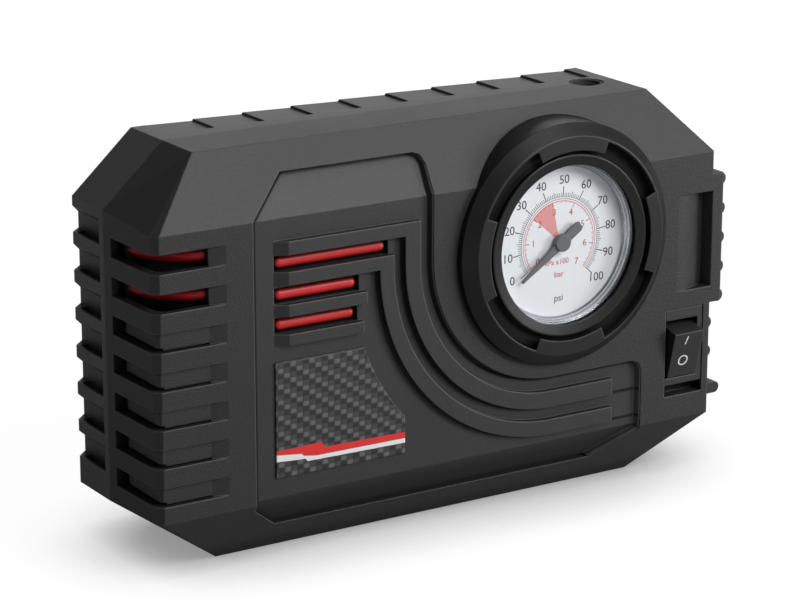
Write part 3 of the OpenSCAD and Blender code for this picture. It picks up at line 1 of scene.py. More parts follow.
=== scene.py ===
import bpy
import math
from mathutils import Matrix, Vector


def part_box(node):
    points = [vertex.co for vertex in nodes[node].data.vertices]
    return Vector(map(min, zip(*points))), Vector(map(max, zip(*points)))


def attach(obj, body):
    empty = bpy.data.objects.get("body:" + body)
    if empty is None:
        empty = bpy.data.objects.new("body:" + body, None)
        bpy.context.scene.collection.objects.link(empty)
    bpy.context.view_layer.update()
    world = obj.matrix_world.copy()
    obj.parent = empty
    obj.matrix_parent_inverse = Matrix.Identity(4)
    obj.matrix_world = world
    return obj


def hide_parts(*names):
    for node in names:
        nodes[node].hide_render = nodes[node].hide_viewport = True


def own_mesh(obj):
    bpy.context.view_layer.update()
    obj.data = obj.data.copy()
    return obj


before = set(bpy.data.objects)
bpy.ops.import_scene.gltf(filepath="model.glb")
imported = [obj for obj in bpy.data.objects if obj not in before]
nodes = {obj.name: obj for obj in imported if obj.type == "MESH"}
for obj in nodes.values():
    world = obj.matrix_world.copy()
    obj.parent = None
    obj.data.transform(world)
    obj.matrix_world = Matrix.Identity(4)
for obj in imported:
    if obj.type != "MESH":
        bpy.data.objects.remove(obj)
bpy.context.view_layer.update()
scene = bpy.context.scene


# the frame's origin, in millimetres from the housing's left end and front face
origin = (97.7, 25.4)


# places in millimetres from the housing's left end, front face and base
def at(x, y, z):
    return Vector(((x - origin[0]) / 1000, (y - origin[1]) / 1000, z / 1000))


def letGo():
    bpy.ops.object.select_all(action="DESELECT")


letGo()


# shader sums written as plain expressions
class Wire:
    def __init__(self, tree, out):
        self.tree, self.out = tree, out

    def join(self, operation, *others):
        node = self.tree.nodes.new("ShaderNodeMath")
        node.operation = operation
        for place, value in enumerate((self,) + others):
            if isinstance(value, Wire):
                self.tree.links.new(value.out, node.inputs[place])
            else:
                node.inputs[place].default_value = value
        return Wire(self.tree, node.outputs[0])

    def __add__(self, other):
        return self.join("ADD", other)

    def __mul__(self, other):
        return self.join("MULTIPLY", other)

    def __sub__(self, other):
        return self.join("SUBTRACT", other)

    def __rsub__(self, other):
        return self.join("MULTIPLY", -1.0).join("ADD", other)

    def __truediv__(self, other):
        return self.join("DIVIDE", other)

    __radd__, __rmul__ = __add__, __mul__

    def above(self, level):
        return self.join("GREATER_THAN", level)

    def below(self, level):
        return self.join("LESS_THAN", level)

    def atMost(self, other):
        return self.join("MINIMUM", other)

    def atLeast(self, other):
        return self.join("MAXIMUM", other)

    def wrapped(self, step):
        return self.join("WRAP", step, 0.0)

    def sine(self):
        return self.join("SINE")

    def size(self):
        return self.join("ABSOLUTE")

    def powered(self, power):
        return self.join("POWER", power)

    def whole(self):
        return self.join("FLOOR")

    def near(self, level, width):
        return (self - level).size().below(width)

    # 0 up to the first level, 1 from the second on
    def rising(self, first, second):
        return ((self - first) / (second - first)).atMost(1).atLeast(0)


class Finish:
    def __init__(self, name, **sockets):
        self.material = bpy.data.materials.new(name)
        self.material.use_nodes = True
        self.tree = self.material.node_tree
        self.shader = self.tree.nodes["Principled BSDF"]
        self.output = self.tree.nodes["Material Output"]
        self.place = self.add("ShaderNodeTexCoord", {}, give="Object")
        self.set(**sockets)

    # any node: its kind, its settings and the output it gives, then its sockets' values or wires by name,
    # or as i and a number
    def add(self, kind, settings, give=0, **sockets):
        node = self.tree.nodes.new(kind)
        for key, value in settings.items():
            setattr(node, key, value)
        for key, value in sockets.items():
            numbered = key[0] == "i" and key[1:].isdigit()
            self.feed(node, int(key[1:]) if numbered else key.replace("_", " "), value)
        return Wire(self.tree, node.outputs[give])

    def feed(self, node, key, value):
        if isinstance(value, Wire):
            self.tree.links.new(value.out, node.inputs[key])
        else:
            node.inputs[key].default_value = value

    def set(self, **sockets):
        for key, value in sockets.items():
            key = key.replace("_", " ")
            if isinstance(value, tuple) and len(value) == 3 and "Color" in key:
                value = (*value, 1)
            self.feed(self.shader, key, value)

    def noise(self, scale, detail=2.0, rough=0.5, stretch=None):
        where = self.place
        if stretch:
            where = self.add("ShaderNodeMapping", {}, Vector=where, Scale=stretch)
        return self.add("ShaderNodeTexNoise", {}, Vector=where, Scale=scale, Detail=detail, Roughness=rough)

    def cells(self, scale, feature):
        return self.add("ShaderNodeTexVoronoi", {"feature": feature}, Vector=self.place, Scale=scale)

    # first number where the mask is 0, second where it is 1
    def choose(self, mask, first, second):
        return (1 - mask) * first + mask * second

    # first colour where the share is 0, second where it is 1
    def blend(self, share, first, second):
        first = (*first, 1) if isinstance(first, tuple) else first
        second = (*second, 1) if isinstance(second, tuple) else second
        return self.add("ShaderNodeMix", {"data_type": "RGBA"}, give=2, i0=share, i6=first, i7=second)

    # edges rounded by a small radius, under the bump
    def bump(self, height, depth, strength=1.0, radius=0.0006):
        rounded = self.add("ShaderNodeBevel", {"samples": 6}, Radius=radius)
        return self.add("ShaderNodeBump", {}, Height=height, Distance=depth, Strength=strength,
                        Normal=rounded)

    # 1 along rounded edges, 0 on flats, used to paint edge highlights
    def edges(self, radius):
        rounded = self.add("ShaderNodeBevel", {"samples": 6}, Radius=radius)
        flat = self.add("ShaderNodeNewGeometry", {}, give="Normal")
        likeness = self.add("ShaderNodeVectorMath", {"operation": "DOT_PRODUCT"}, give="Value", i0=rounded,
                            i1=flat)
        return (1 - likeness).rising(0.0, 0.2)

    # 1 deep in corners and slots, 0 in the open, from ambient occlusion, used to paint shade
    def corners(self, reach):
        openness = self.add("ShaderNodeAmbientOcclusion", {"samples": 6}, give="AO", Distance=reach)
        return (1 - openness).rising(0.25, 0.75)

    # the three object coordinates in metres
    def axes(self, place=None):
        node = self.tree.nodes.new("ShaderNodeSeparateXYZ")
        self.tree.links.new((place or self.place).out, node.inputs[0])
        return [Wire(self.tree, out) for out in node.outputs]

    # the same in millimetres from the housing's left end, front face and base
    def housing(self):
        moved = self.add("ShaderNodeVectorMath", {"operation": "MULTIPLY_ADD"}, i0=self.place,
                         i1=(1000, 1000, 1000), i2=(*origin, 0))
        return self.axes(moved)


# a colour made lighter or darker as a whole
def toned(colour, share, lift=0.0):
    return tuple(c * share + lift for c in colour)


# grained plastic: seam draws the shells' parting line, the mask gives the places painted dark as shade, and the
# last number is how pale the edges are painted as highlights; it also adds painted shade in corners and slots
def mouldedPlastic(name, colour, rough=0.5, grain=1900, depth=0.00006, spread=0.12, specular=0.5, seam=False,
                   shadeMask=None, edgeLightAndShade=0.0):
    f = Finish(name)
    grains = f.noise(grain, 3, 0.6)
    patches = f.noise(34, 4, 0.55)
    tone = f.blend(patches, toned(colour, 1 - spread), toned(colour, 1 + spread))
    height = grains
    if seam:
        split = f.housing()[1].near(housingPlaces["parting"], 0.2)
        tone = f.blend(split, tone, (0.002, 0.002, 0.002))
        height = grains - split * 6
    gloss = patches * 0.08 + (grains * 0.06 + (rough - 0.07))
    if shadeMask:
        # painted shade: the places the mask picks are made darker
        where = shadeMask(f)
        tone = f.blend(where, tone, toned(colour, 0.1))
        gloss = gloss + where * 0.45
    if edgeLightAndShade:
        # painted highlight: the rounded edges are made paler
        tone = f.blend(f.edges(0.0007) * edgeLightAndShade, tone, toned(colour, 4, 0.06))
        # painted shade: corners and slots are made darker
        cornerShade = f.corners(0.007)
        tone = f.blend(cornerShade, tone, toned(colour, 0.15))
        gloss = gloss + cornerShade * 0.3
    f.set(Base_Color=tone, Roughness=gloss, Normal=f.bump(height, depth), Specular_IOR_Level=specular)
    return f.material


# worn metal, with lines along the axis that stretch leaves short
def bareMetal(name, colour, rough=0.3, stretch=(1, 1, 1), depth=0.00003, tarnish=0.15):
    f = Finish(name, Metallic=1.0)
    lines = f.noise(900, 3, 0.6, stretch=stretch)
    stain = f.noise(90, 3, 0.6)
    f.set(Base_Color=f.blend(stain, toned(colour, 1 - tarnish), colour),
          Roughness=lines * 0.12 + (stain * 0.1 + rough - 0.11), Normal=f.bump(lines, depth))
    return f.material


def castMetal(name, colour, rough=0.48):
    f = Finish(name, Metallic=1.0)
    skin = f.cells(1100, "SMOOTH_F1")
    stain = f.noise(120, 3, 0.6)
    f.set(Base_Color=f.blend(stain, toned(colour, 0.85), colour),
          Roughness=skin * 0.2 + (stain * 0.1 + rough - 0.1), Normal=f.bump(skin, 0.00012, 0.6))
    return f.material


def softRubber(name, colour, rough=0.7):
    f = Finish(name)
    dust = f.noise(70, 4, 0.6)
    grain = f.noise(2400, 2, 0.5)
    f.set(Base_Color=f.blend(dust.powered(2.0), colour, toned(colour, 1.5, 0.01)),
          Roughness=dust * 0.15 + (rough - 0.08), Normal=f.bump(grain, 0.00008))
    return f.material


def woundCopper(name):
    f = Finish(name)
    turns = (f.axes()[0] * 9000).sine()
    f.set(Base_Color=f.blend(turns * 0.5 + 0.5, (0.30, 0.10, 0.03), (0.72, 0.30, 0.12)), Roughness=0.3,
          Metallic=0.6, Normal=f.bump(turns, 0.0002), Coat_Weight=0.4, Coat_Roughness=0.15)
    return f.material


# clear, with a sheen on its outer faces only
def plainGlass(name):
    f = Finish(name, Specular_IOR_Level=1.0, Base_Color=(0.02, 0.02, 0.02))
    clear = f.add("ShaderNodeBsdfTransparent", {}, Color=(0.98, 0.985, 0.99, 1))
    sheen = f.add("ShaderNodeFresnel", {}, IOR=1.45)
    hidden = f.add("ShaderNodeNewGeometry", {}, give="Backfacing")
    smears = f.noise(120, 3, 0.5)
    f.set(Roughness=smears * 0.04 + 0.01)
    mixed = f.add("ShaderNodeMixShader", {}, i0=sheen * (1 - hidden), i1=clear,
                  i2=Wire(f.tree, f.shader.outputs[0]))
    f.tree.links.new(mixed.out, f.output.inputs["Surface"])
    return f.material


# red bars with painted shade where other parts close round them, turning black where their carrier starts
def louvreRed(name, red, black, carrier):
    f = Finish(name, Specular_IOR_Level=0.4)
    # black where the carrier mask falls; at the corner part of that mask is painted shade
    hidden = carrier(f)
    flow = f.noise(60, 2, 0.4)
    # painted shade: the red darkens where other parts close round it
    tone = f.blend(f.corners(0.005), f.blend(flow, toned(red, 0.9), red), toned(red, 0.12))
    f.set(Base_Color=f.blend(hidden, tone, black),
          Roughness=hidden * 0.2 + (flow * 0.06 + 0.33), Normal=f.bump(flow, 0.0001, 0.3))
    return f.material


# the film's two stripes: each border is a slanting line of (start, height there, fall per millimetre), and
# another one right of a slanting step
stripes = {"step": (46.9, 29.4, 0.7), "topStep": (54.2, 30.1, 0.4),
           "redTop": ((39.7, 31.5, -0.02), (54.2, 30.1, 0.0143)),
           "redLow": ((39.7, 30.3, 0.12), (47.3, 28.8, 0.16)), "redLevel": (51.6, 28.1, 0.0065),
           "whiteLow": ((39.7, 28.2, 0.07), (48.7, 26.8, 0.012))}


# woven film: a twill of flat tows, crossed by a red stripe over a white one
def wovenFilm(name, cell, light, middle, dark, red, white):
    f = Finish(name)
    x, y, z = f.housing()
    across, up = x / cell[0], z / cell[1]
    step = (across.whole() + up.whole()).wrapped(3)
    tow = (across.wrapped(1) * math.pi).sine() * (up.wrapped(1) * math.pi).sine()
    bulge = tow.powered(0.35)
    weave = f.blend(step.near(0, 0.5), f.blend(step.near(1, 0.5), dark, middle), light)
    weave = f.blend(bulge, toned(middle, 0.5), weave)

    def border(start, height, fall):
        return height - (x - start) * fall

    stepX, stepZ, lean = stripes["step"]
    right = (x - (stepX + (stepZ - z) * lean)).above(0)
    topX, topZ, topLean = stripes["topStep"]
    redTop = f.choose((x + (z - topZ) * topLean).above(topX), border(*stripes["redTop"][0]),
                      border(*stripes["redTop"][1]))
    redLow = f.choose(right, border(*stripes["redLow"][0]),
                      border(*stripes["redLow"][1]).atLeast(border(*stripes["redLevel"])))
    whiteLow = f.choose(right, border(*stripes["whiteLow"][0]), border(*stripes["whiteLow"][1]))
    inRed = (redTop - z).above(0) * (z - redLow).above(0)
    inWhite = (redLow - z).above(0.1) * (z - whiteLow).above(0)
    plain = (inRed + inWhite).atMost(1)
    f.set(Base_Color=f.blend(inWhite, f.blend(inRed, weave, red), white), Roughness=f.noise(900) * 0.1 + 0.3,
          Normal=f.bump(bulge * (1 - plain), 0.00004), Coat_Weight=0.3, Coat_Roughness=0.25)
    return f.material


# the gauge's printing: degrees from the right for zero and for the sweep, millimetres for the rest
dial = {"centre": (135.2, 79.1), "zero": 214.5, "sweep": 258.0, "face": 1.5,
        "number": 2.7, "numberRadius": 18.6, "zeroRadius": 19.3, "zeroTurn": 4, "redNumber": 2.1,
        "redRadius": 9.3, "redFull": 6.89, "sector": (102, 139, 12.2)}


# the distance from the gauge's axis
def fromDial(x, z):
    dx, dz = x - dial["centre"][0], z - dial["centre"][1]
    return (dx * dx + dz * dz).powered(0.5)


# printed dial: scale rings and ticks round the needle's axis, and a pale sector
def printedDial(name, face, black, red, pale):
    f = Finish(name)
    x, y, z = f.housing()
    radius = fromDial(x, z)
    angle = (z - dial["centre"][1]).join("ARCTAN2", x - dial["centre"][0]) * (180 / math.pi)
    angle = (angle + 90).wrapped(360) - 90
    scale = (dial["zero"] - angle) / dial["sweep"]
    onScale = scale.above(-0.006) * scale.below(1.006)
    width = radius * (dial["sweep"] * math.pi / 180)

    def ticks(parts, inner, outer, half):
        off = ((scale * parts + 0.5).wrapped(1) - 0.5).size() * (width / parts)
        return off.below(half) * radius.above(inner) * radius.below(outer)

    blackInk = (ticks(100, 13.6, 14.7, 0.09) + ticks(20, 13.6, 15.2, 0.1) + ticks(10, 13.6, 16.6, 0.14)
                + radius.near(13.55, 0.06)).atMost(1) * onScale
    redInk = (ticks(dial["redFull"], 10.8, 12.2, 0.13) + ticks(5 * dial["redFull"], 11.6, 12.2, 0.07)
              + radius.near(12.9, 0.1) + radius.near(12.25, 0.1)).atMost(1) * onScale
    start, end, reach = dial["sector"]
    sector = angle.above(start) * angle.below(end) * radius.below(reach)
    paper = f.noise(500, 3, 0.6)
    clean = f.blend(paper, toned(face, 0.97), face)
    f.set(Base_Color=f.blend(blackInk, f.blend(redInk, f.blend(sector, clean, pale), red), black),
          Roughness=paper * 0.1 + 0.35, Normal=f.bump(paper, 0.00001))
    return f.material


# bright metal with fine turned rings
def reflector(name):
    f = Finish(name, Metallic=0.9)
    rings = ((f.housing()[1] * 5.2).sine() * 0.5 + 0.5).powered(1.5)
    f.set(Base_Color=f.blend(rings, (0.42, 0.42, 0.46), (0.92, 0.92, 0.93)),
          Roughness=f.noise(400) * 0.08 + 0.22, Normal=f.bump(rings, 0.00008))
    return f.material


# where the masks below fall, in millimetres
housingPlaces = {"parting": 28, "faceHigh": 99.7, "faceLow": 17, "slopeHigh": 0.5544, "slopeLow": 0.629,
                 "panelLeft": 31.2, "panelFoot": 9.9, "bandAxis": (132.3, 80.3)}
# each curved band's radius, where its groove's shade starts to fade and ends, and its upper end
grooves = ((42, 0.9, 1.5, 120), (51.5, 0.3, 1.1, 92.7), (60, 0.2, 0.9, 83.9))


# depth below the sloping front
def sunk(y, z):
    high = (z - housingPlaces["faceHigh"]).atLeast(0) * housingPlaces["slopeHigh"]
    low = (housingPlaces["faceLow"] - z).atLeast(0) * housingPlaces["slopeLow"]
    return y - high - low


# painted shade in the grooves beside the curved bands, along the panel's left edge, down its lower slope and at
# its foot
def panelGrooves(f):
    x, y, z = f.housing()
    axisX, axisZ = housingPlaces["bandAxis"]
    dx, dz = (axisX - x).atLeast(0), (axisZ - z).atLeast(0)
    reach = (dx * dx + dz * dz).powered(0.5)
    walls = [(reach - radius).above(-0.4) * (1 - (reach - radius).rising(start, end)) * z.below(top)
             for radius, start, end, top in grooves]
    fromLeft = x - housingPlaces["panelLeft"]
    slant = (fromLeft * 11.4 - (z - housingPlaces["faceHigh"]) * 12.1) / 16.62
    edge = 1 - fromLeft.atMost(slant).rising(1.4, 1.9)
    inGrooves = (walls[0] + walls[1] + walls[2] + edge).atMost(1) * sunk(y, z).rising(0.2, 0.5)
    lowSlope = (housingPlaces["faceLow"] - z).rising(0, 4) * 0.55
    return inGrooves.atLeast(lowSlope).atLeast((housingPlaces["panelFoot"] - z).rising(0, 0.7))


# painted shade in the deep pocket round the rocker switch
def shellPockets(f):
    x, y, z = f.housing()
    return x.above(174.0) * x.below(190.5) * z.above(25) * z.below(54) * y.rising(0.4, 1.2)


# painted shade in the ring's slots behind its locking teeth
def gaugePocket(f):
    x, y, z = f.housing()
    return fromDial(x, z).below(32.6) * y.rising(-4.9, -4.6)


# painted shade on the bezel's flange beyond its crest
def bezelFlange(f):
    x, y, z = f.housing()
    return fromDial(x, z).above(27.5)


# the black carriers that join the red bars and the red bands; at the corner the red also fades to black on the
# bands' inner side and over their last few millimetres, as painted shade
def panelCarrier(f):
    return f.housing()[1].above(5.3)


def cornerCarrier(f):
    x, y, z = f.housing()
    dx, dy = (20.5 - x).atLeast(0), (20.5 - y).atLeast(0)
    inside = (dx * dx + dy * dy).powered(0.5).below(15.6)
    return (inside + x.rising(17.6, 20.3) + y.rising(17.6, 20.3)).atMost(1)


# black of the carriers, also the painted shade the corner red fades into
carrierAndShadeBlack = (0.003, 0.003, 0.003)
finishes = {
    "shellBlack": mouldedPlastic("shellBlack", (0.020, 0.020, 0.0214), 0.5, 1700, 0.00011, specular=0.45,
                                 seam=True, shadeMask=shellPockets, edgeLightAndShade=0.5),
    # the rear shell's black is a paler copy of the front shell's, as painted light
    "shellRear": mouldedPlastic("shellRear", (0.055, 0.055, 0.057), 0.52, specular=0.65, seam=True, edgeLightAndShade=0.4),
    "panelBlack": mouldedPlastic("panelBlack", (0.022, 0.022, 0.0234), 0.48, 2100, 0.00008, shadeMask=panelGrooves,
                                 edgeLightAndShade=0.5),
    "trimBlack": mouldedPlastic("trimBlack", (0.011, 0.011, 0.012), 0.35, 2600, 0.00004, specular=0.36,
                                shadeMask=gaugePocket, edgeLightAndShade=0.5),
    "bezelBlack": mouldedPlastic("bezelBlack", (0.010, 0.010, 0.011), 0.32, 2600, 0.00003, specular=0.3,
                                 shadeMask=bezelFlange, edgeLightAndShade=0.4),
    "switchBlack": mouldedPlastic("switchBlack", (0.022, 0.022, 0.023), 0.44, 2600, 0.00003, edgeLightAndShade=0.3),
    "panelRed": louvreRed("panelRed", (0.66, 0.022, 0.024), carrierAndShadeBlack, panelCarrier),
    # the corner bands take a darker copy of the panel bars' red, as painted shade
    "cornerRed": louvreRed("cornerRed", (0.46, 0.010, 0.012), carrierAndShadeBlack, cornerCarrier),
    "film": wovenFilm("film", (2.06, 1.55), (0.115, 0.117, 0.115), (0.045, 0.045, 0.045),
                      (0.014, 0.014, 0.014), (0.72, 0.022, 0.02), (0.8, 0.8, 0.8)),
    "dialFace": printedDial("dialFace", (0.94, 0.945, 0.96), (0.03, 0.03, 0.03), (0.6, 0.06, 0.06),
                            (0.86, 0.36, 0.36)),
    "inkBlack": mouldedPlastic("inkBlack", (0.03, 0.03, 0.03), 0.5, 3000, 0.00001),
    "inkRed": mouldedPlastic("inkRed", (0.6, 0.06, 0.06), 0.5, 3000, 0.00001),
    "inkWhite": mouldedPlastic("inkWhite", (0.75, 0.75, 0.75), 0.5, 3000, 0.00001, 0.05),
    "reflector": reflector("reflector"),
    "needleGrey": mouldedPlastic("needleGrey", (0.15, 0.158, 0.158), 0.45, 3000, 0.00002),
    "brass": bareMetal("brass", (0.78, 0.58, 0.26), 0.32),
    "plate": bareMetal("plate", (0.62, 0.62, 0.64), 0.3),
    "steel": bareMetal("steel", (0.58, 0.58, 0.6), 0.22, (0.1, 1, 1)),
    "cast": castMetal("cast", (0.62, 0.63, 0.65)),
    "copper": woundCopper("copper"),
    "ferrite": mouldedPlastic("ferrite", (0.04, 0.04, 0.045), 0.6, 900, 0.0001),
    "carbonBlock": mouldedPlastic("carbonBlock", (0.02, 0.02, 0.02), 0.7, 1200, 0.0001),
    "gearWhite": mouldedPlastic("gearWhite", (0.72, 0.7, 0.64), 0.4, 1500, 0.00004, 0.04),
    "softBlack": softRubber("softBlack", (0.02, 0.02, 0.02)),
    "sealBrown": softRubber("sealBrown", (0.08, 0.05, 0.035)),
    "gasketBrown": softRubber("gasketBrown", (0.28, 0.17, 0.09)),
    "tubeGrey": softRubber("tubeGrey", (0.16, 0.17, 0.19), 0.4),
    "leadRed": softRubber("leadRed", (0.42, 0.03, 0.03), 0.45),
    "lensClear": plainGlass("lensClear"),
}
nodeFinish = {
    "shellBlack": ["front_shell"], "shellRear": ["rear_shell"], "panelBlack": ["front_panel"],
    "panelRed": ["panel_louvre"], "cornerRed": ["corner_louvre"], "film": ["label_plate"],
    "trimBlack": ["gauge_ring"], "bezelBlack": ["gauge_bezel"], "lensClear": ["gauge_lens"],
    "dialFace": ["gauge_dial"], "needleGrey": ["gauge_needle"], "gearWhite": ["drive_gear"],
    "plate": ["case_screws", "gauge_case", "motor_can", "motor_screws", "head_screws"],
    "steel": ["motor_shaft", "gear_axle", "crank_screw", "rod_bearing", "armature_core", "valve_spring"],
    "brass": ["movement_frame", "bourdon_tube", "gauge_stem", "sector_gear", "pointer_spindle",
              "switch_terminals", "motor_bushes", "motor_pinion", "gear_bush", "hose_tail", "hose_socket"],
    "switchBlack": ["switch_housing", "rocker", "motor_end_cap"],
    "ferrite": ["field_magnets"], "carbonBlock": ["motor_brushes"],
    "softBlack": ["motor_cushion", "frame_cushions", "hose_grommet", "cord_gland"],
    "copper": ["armature_windings", "commutator"],
    "cast": ["gearbox_frame", "connecting_rod", "cylinder_barrel", "cylinder_head"],
    "sealBrown": ["piston_seal", "valve_disc"], "gasketBrown": ["head_gasket"],
    "tubeGrey": ["air_tube", "gauge_tube"], "leadRed": ["motor_leads"],
}
for finish, names in nodeFinish.items():
    for name in names:
        nodes[name].data.materials.clear()
        nodes[name].data.materials.append(finishes[finish])
print("finishes ready")


# words cut flat, turned to face the front with a lean, and set at a place
def printed(words, height, x, y, z, lean=0.0, spin=0.0, wide=1.0):
    letGo()
    bpy.ops.object.text_add(location=(0, 0, 0))
    text = bpy.context.object
    text.data.body, text.data.size = words, height / 730
    text.data.align_x, text.data.align_y = "CENTER", "CENTER"
    text.data.resolution_u, text.data.extrude = 4, 0.00001
    bpy.ops.object.convert(target="MESH")
    text.scale = (wide, 1, 1)
    text.rotation_euler = (math.radians(90 + lean), math.radians(spin), 0)
    text.location = at(x, y, z)
    bpy.ops.object.transform_apply()
    return text


# one piece of several, with its finish, body and slot
def merged(name, pieces, finish, body):
    letGo()
    for piece in pieces:
        piece.select_set(True)
    bpy.context.view_layer.objects.active = pieces[0]
    if len(pieces) > 1:
        bpy.ops.object.join()
    whole = bpy.context.object
    whole.name = name
    whole.data.materials.clear()
    whole.data.materials.append(finishes[finish])
    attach(whole, body)
    return whole


def onDial(words, height, radius, degrees):
    x = dial["centre"][0] + radius * math.cos(math.radians(degrees))
    z = dial["centre"][1] + radius * math.sin(math.radians(degrees))
    return printed(words, height, x, dial["face"] - 0.02, z)


# the zero stands a little outside its tick, clear of the needle
blackNumbers = [onDial("0", dial["number"], dial["zeroRadius"], dial["zero"] - dial["zeroTurn"])]
for tens in range(1, 11):
    turn = dial["zero"] - tens * dial["sweep"] / 10
    blackNumbers.append(onDial(str(10 * tens), dial["number"], dial["numberRadius"], turn))
blackNumbers.append(onDial("psi", 2.2, 17.3, -90))
merged("dialNumbers", blackNumbers, "inkBlack", "housing")

redNumbers = []
for unit in range(8):
    turn = dial["zero"] - unit * dial["sweep"] / dial["redFull"]
    redNumbers.append(onDial(str(unit), dial["redNumber"], dial["redRadius"], turn))
innerUnit = (dial["centre"][0] - 0.8, dial["face"] - 0.02, dial["centre"][1] - 6.2)
redNumbers.append(printed("kPa x100", 1.7, *innerUnit))
redNumbers.append(onDial("bar", 1.9, 10.0, -90))
merged("dialRedNumbers", redNumbers, "inkRed", "housing")
print("dial printed")


# a profile of (radius, depth) in millimetres turned round the gauge's axis by extruding and sizing one ring
def turned(name, profile, finish, body):
    middle = at(dial["centre"][0], 0, dial["centre"][1])
    letGo()
    bpy.ops.mesh.primitive_circle_add(vertices=96, radius=profile[0][0] / 1000,
                                      location=at(dial["centre"][0], profile[0][1], dial["centre"][1]),
                                      rotation=(math.radians(90), 0, 0))
    ring = bpy.context.object
    bpy.ops.object.transform_apply()
    bpy.ops.object.mode_set(mode="EDIT")
    bpy.ops.mesh.select_all(action="SELECT")
    for (r0, y0), (r1, y1) in zip(profile, profile[1:]):
        bpy.ops.mesh.extrude_region_move(TRANSFORM_OT_translate={"value": (0, (y1 - y0) / 1000, 0)})
        bpy.ops.transform.resize(value=(r1 / r0, 1, r1 / r0), center_override=middle)
    bpy.ops.mesh.select_all(action="DESELECT")
    bpy.ops.mesh.select_non_manifold()
    bpy.ops.mesh.bridge_edge_loops()
    bpy.ops.mesh.select_all(action="SELECT")
    bpy.ops.mesh.normals_make_consistent(inside=False)
    bpy.ops.object.mode_set(mode="OBJECT")
    bpy.ops.object.shade_smooth_by_angle(angle=math.radians(35))
    return merged(name, [ring], finish, body)


# bright ring seen through the lens between the dial and the bezel
reflectorProfile = [(22.7, 1.4), (22.9, 0.9), (23.25, 0.5), (23.3, -0.2), (23.6, -0.6), (23.65, -1.2),
                    (23.9, -1.5), (23.96, -1.5), (23.96, 1.4)]
turned("dialReflector", reflectorProfile, "reflector", "housing")
print("reflector turned")

# coil spring over the valve disc: one ring of the wire screwed upwards
spring = {"coil": 0.0025, "wire": 0.00022, "turns": 4, "travel": 0.0012}
springLow, springHigh = (Vector(corner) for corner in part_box("valve_spring"))
springMiddle = (springLow + springHigh) / 2
letGo()
bpy.ops.mesh.primitive_circle_add(vertices=12, radius=spring["wire"], location=(spring["coil"], 0, 0),
                                  rotation=(math.radians(90), 0, 0))
valveSpring = bpy.context.object
valveSpring.name = "valveSpring"
bpy.ops.object.transform_apply()
bpy.ops.object.modifier_add(type="SCREW")
screw = valveSpring.modifiers[-1]
screw.angle, screw.steps, screw.render_steps = 2 * math.pi * spring["turns"], 96, 96
screw.screw_offset = springHigh.z - springLow.z - 2 * spring["wire"]
bpy.ops.object.modifier_apply(modifier=screw.name)
bpy.ops.object.mode_set(mode="EDIT")
bpy.ops.mesh.select_all(action="DESELECT")
bpy.ops.mesh.select_non_manifold()
bpy.ops.mesh.fill_holes(sides=0)
bpy.ops.mesh.select_all(action="SELECT")
bpy.ops.mesh.normals_make_consistent(inside=False)
bpy.ops.object.mode_set(mode="OBJECT")
valveSpring.location = (springMiddle.x, springMiddle.y, springLow.z + spring["wire"])
bpy.ops.object.transform_apply()
bpy.ops.object.shade_smooth_by_angle(angle=math.radians(50))
valveSpring.data.materials.append(finishes["steel"])
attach(valveSpring, "housing")
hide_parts("valve_spring")
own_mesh(valveSpring)
print("valve spring wound")

# marks on the rocker's leaning face
rockerMarks = {"lean": 14.0, "pivot": (4.9, 39.4), "face": 6.82,
               "line": (180.1, 4.8, 3.0), "ring": (180.1, -2.2, 3.7)}


def onRocker(words, spot, wide, spin):
    x, up, height = spot
    lean = math.radians(rockerMarks["lean"])
    y = rockerMarks["pivot"][0] - rockerMarks["face"] * math.cos(lean) - up * math.sin(lean)
    z = rockerMarks["pivot"][1] - rockerMarks["face"] * math.sin(lean) + up * math.cos(lean)
    return printed(words, height, x, y, z, rockerMarks["lean"], spin, wide)


lineMark = onRocker("I", rockerMarks["line"], 1.1, 16)
ringMark = onRocker("O", rockerMarks["ring"], 1.0, 0)
merged("rockerMarks", [lineMark, ringMark], "inkWhite", "rocker")
print("rocker marked")

studio = {"lens": 137.48, "turn": 32.13, "drop": 16.2, "eye": (-361.4, -698.0, 310.0), "worldLevel": 0.16,
          "overhead": 2.9, "backPanel": 6.5, "rightFront": 20.0, "lowRight": 14.0, "floorGlow": 0.82}
cameraData = bpy.data.cameras.new("camera")
cameraData.lens = studio["lens"]
cameraData.sensor_width = 36
cameraData.clip_start, cameraData.clip_end = 0.05, 20
camera = bpy.data.objects.new("camera", cameraData)
scene.collection.objects.link(camera)
camera.location = at(*studio["eye"])
camera.rotation_euler = (math.radians(90 - studio["drop"]), 0, math.radians(-studio["turn"]))
scene.camera = camera


def softLight(name, place, aim, size, power):
    data = bpy.data.lights.new(name, "AREA")
    data.shape, data.size, data.size_y = "RECTANGLE", size[0], size[1]
    data.energy = power
    lamp = bpy.data.objects.new(name, data)
    scene.collection.objects.link(lamp)
    lamp.location = place
    lamp.rotation_euler = (Vector(aim) - Vector(place)).to_track_quat("-Z", "Y").to_euler()


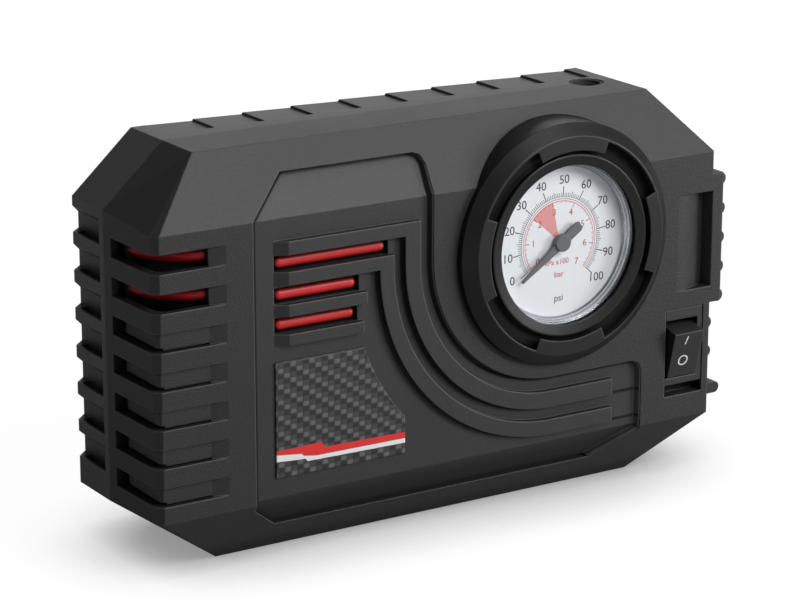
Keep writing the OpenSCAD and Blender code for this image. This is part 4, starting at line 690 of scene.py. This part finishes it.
softLight("overhead", (0.6, 0.2, 1.1), (0, 0, 0.05), (1.0, 1.0), studio["overhead"])
softLight("backPanel", (1.35, 1.9, 0.7), (0, 0, 0.1), (1.7, 1.2), studio["backPanel"])
softLight("rightFront", (0.6, -1.35, 1.15), (0, 0, 0.06), (0.8, 0.8), studio["rightFront"])
softLight("lowRight", (1.5, -1.1, 0.28), (0, 0, 0.06), (0.7, 0.5), studio["lowRight"])

world = bpy.data.worlds.new("studio")
scene.world = world
world.use_nodes = True
air = world.node_tree.nodes
ray = air.new("ShaderNodeLightPath")
back = air["Background"]
back.inputs[0].default_value = (1, 1, 1, 1)
back.inputs[1].default_value = studio["worldLevel"]
white = air.new("ShaderNodeBackground")
white.inputs[0].default_value = (1, 1, 1, 1)
mixer = air.new("ShaderNodeMixShader")
world.node_tree.links.new(ray.outputs["Is Camera Ray"], mixer.inputs[0])
world.node_tree.links.new(back.outputs[0], mixer.inputs[1])
world.node_tree.links.new(white.outputs[0], mixer.inputs[2])
world.node_tree.links.new(mixer.outputs[0], air["World Output"].inputs[0])

# the floor sends less light up near the part, and is pale to the camera but for a soft shade
letGo()
bpy.ops.mesh.primitive_plane_add(size=8, location=(0, 0, -0.0002))
floor = bpy.context.object
floor.name = "floor"
paper = Finish("paper", Roughness=0.9)
far = paper.add("ShaderNodeVectorMath", {"operation": "LENGTH"}, give="Value", i0=paper.place)
paper.set(Base_Color=paper.blend(far.rising(0.2, 0.6), (0.42, 0.42, 0.42), (0.7, 0.7, 0.7)))
seen = paper.add("ShaderNodeLightPath", {}, give="Is Camera Ray")
clear = paper.add("ShaderNodeAmbientOcclusion", {"samples": 12}, give="AO", Distance=0.05)
shade = paper.blend(clear.rising(0.2, 0.8), (0.3, 0.3, 0.3), (1, 1, 1))
glow = paper.add("ShaderNodeEmission", {}, Color=shade, Strength=1.17)
lit = paper.add("ShaderNodeMixShader", {}, i0=seen * studio["floorGlow"],
                i1=Wire(paper.tree, paper.shader.outputs[0]), i2=glow)
paper.tree.links.new(lit.out, paper.output.inputs["Surface"])
floor.data.materials.append(paper.material)

scene.view_settings.view_transform = "Standard"
print("stage set")
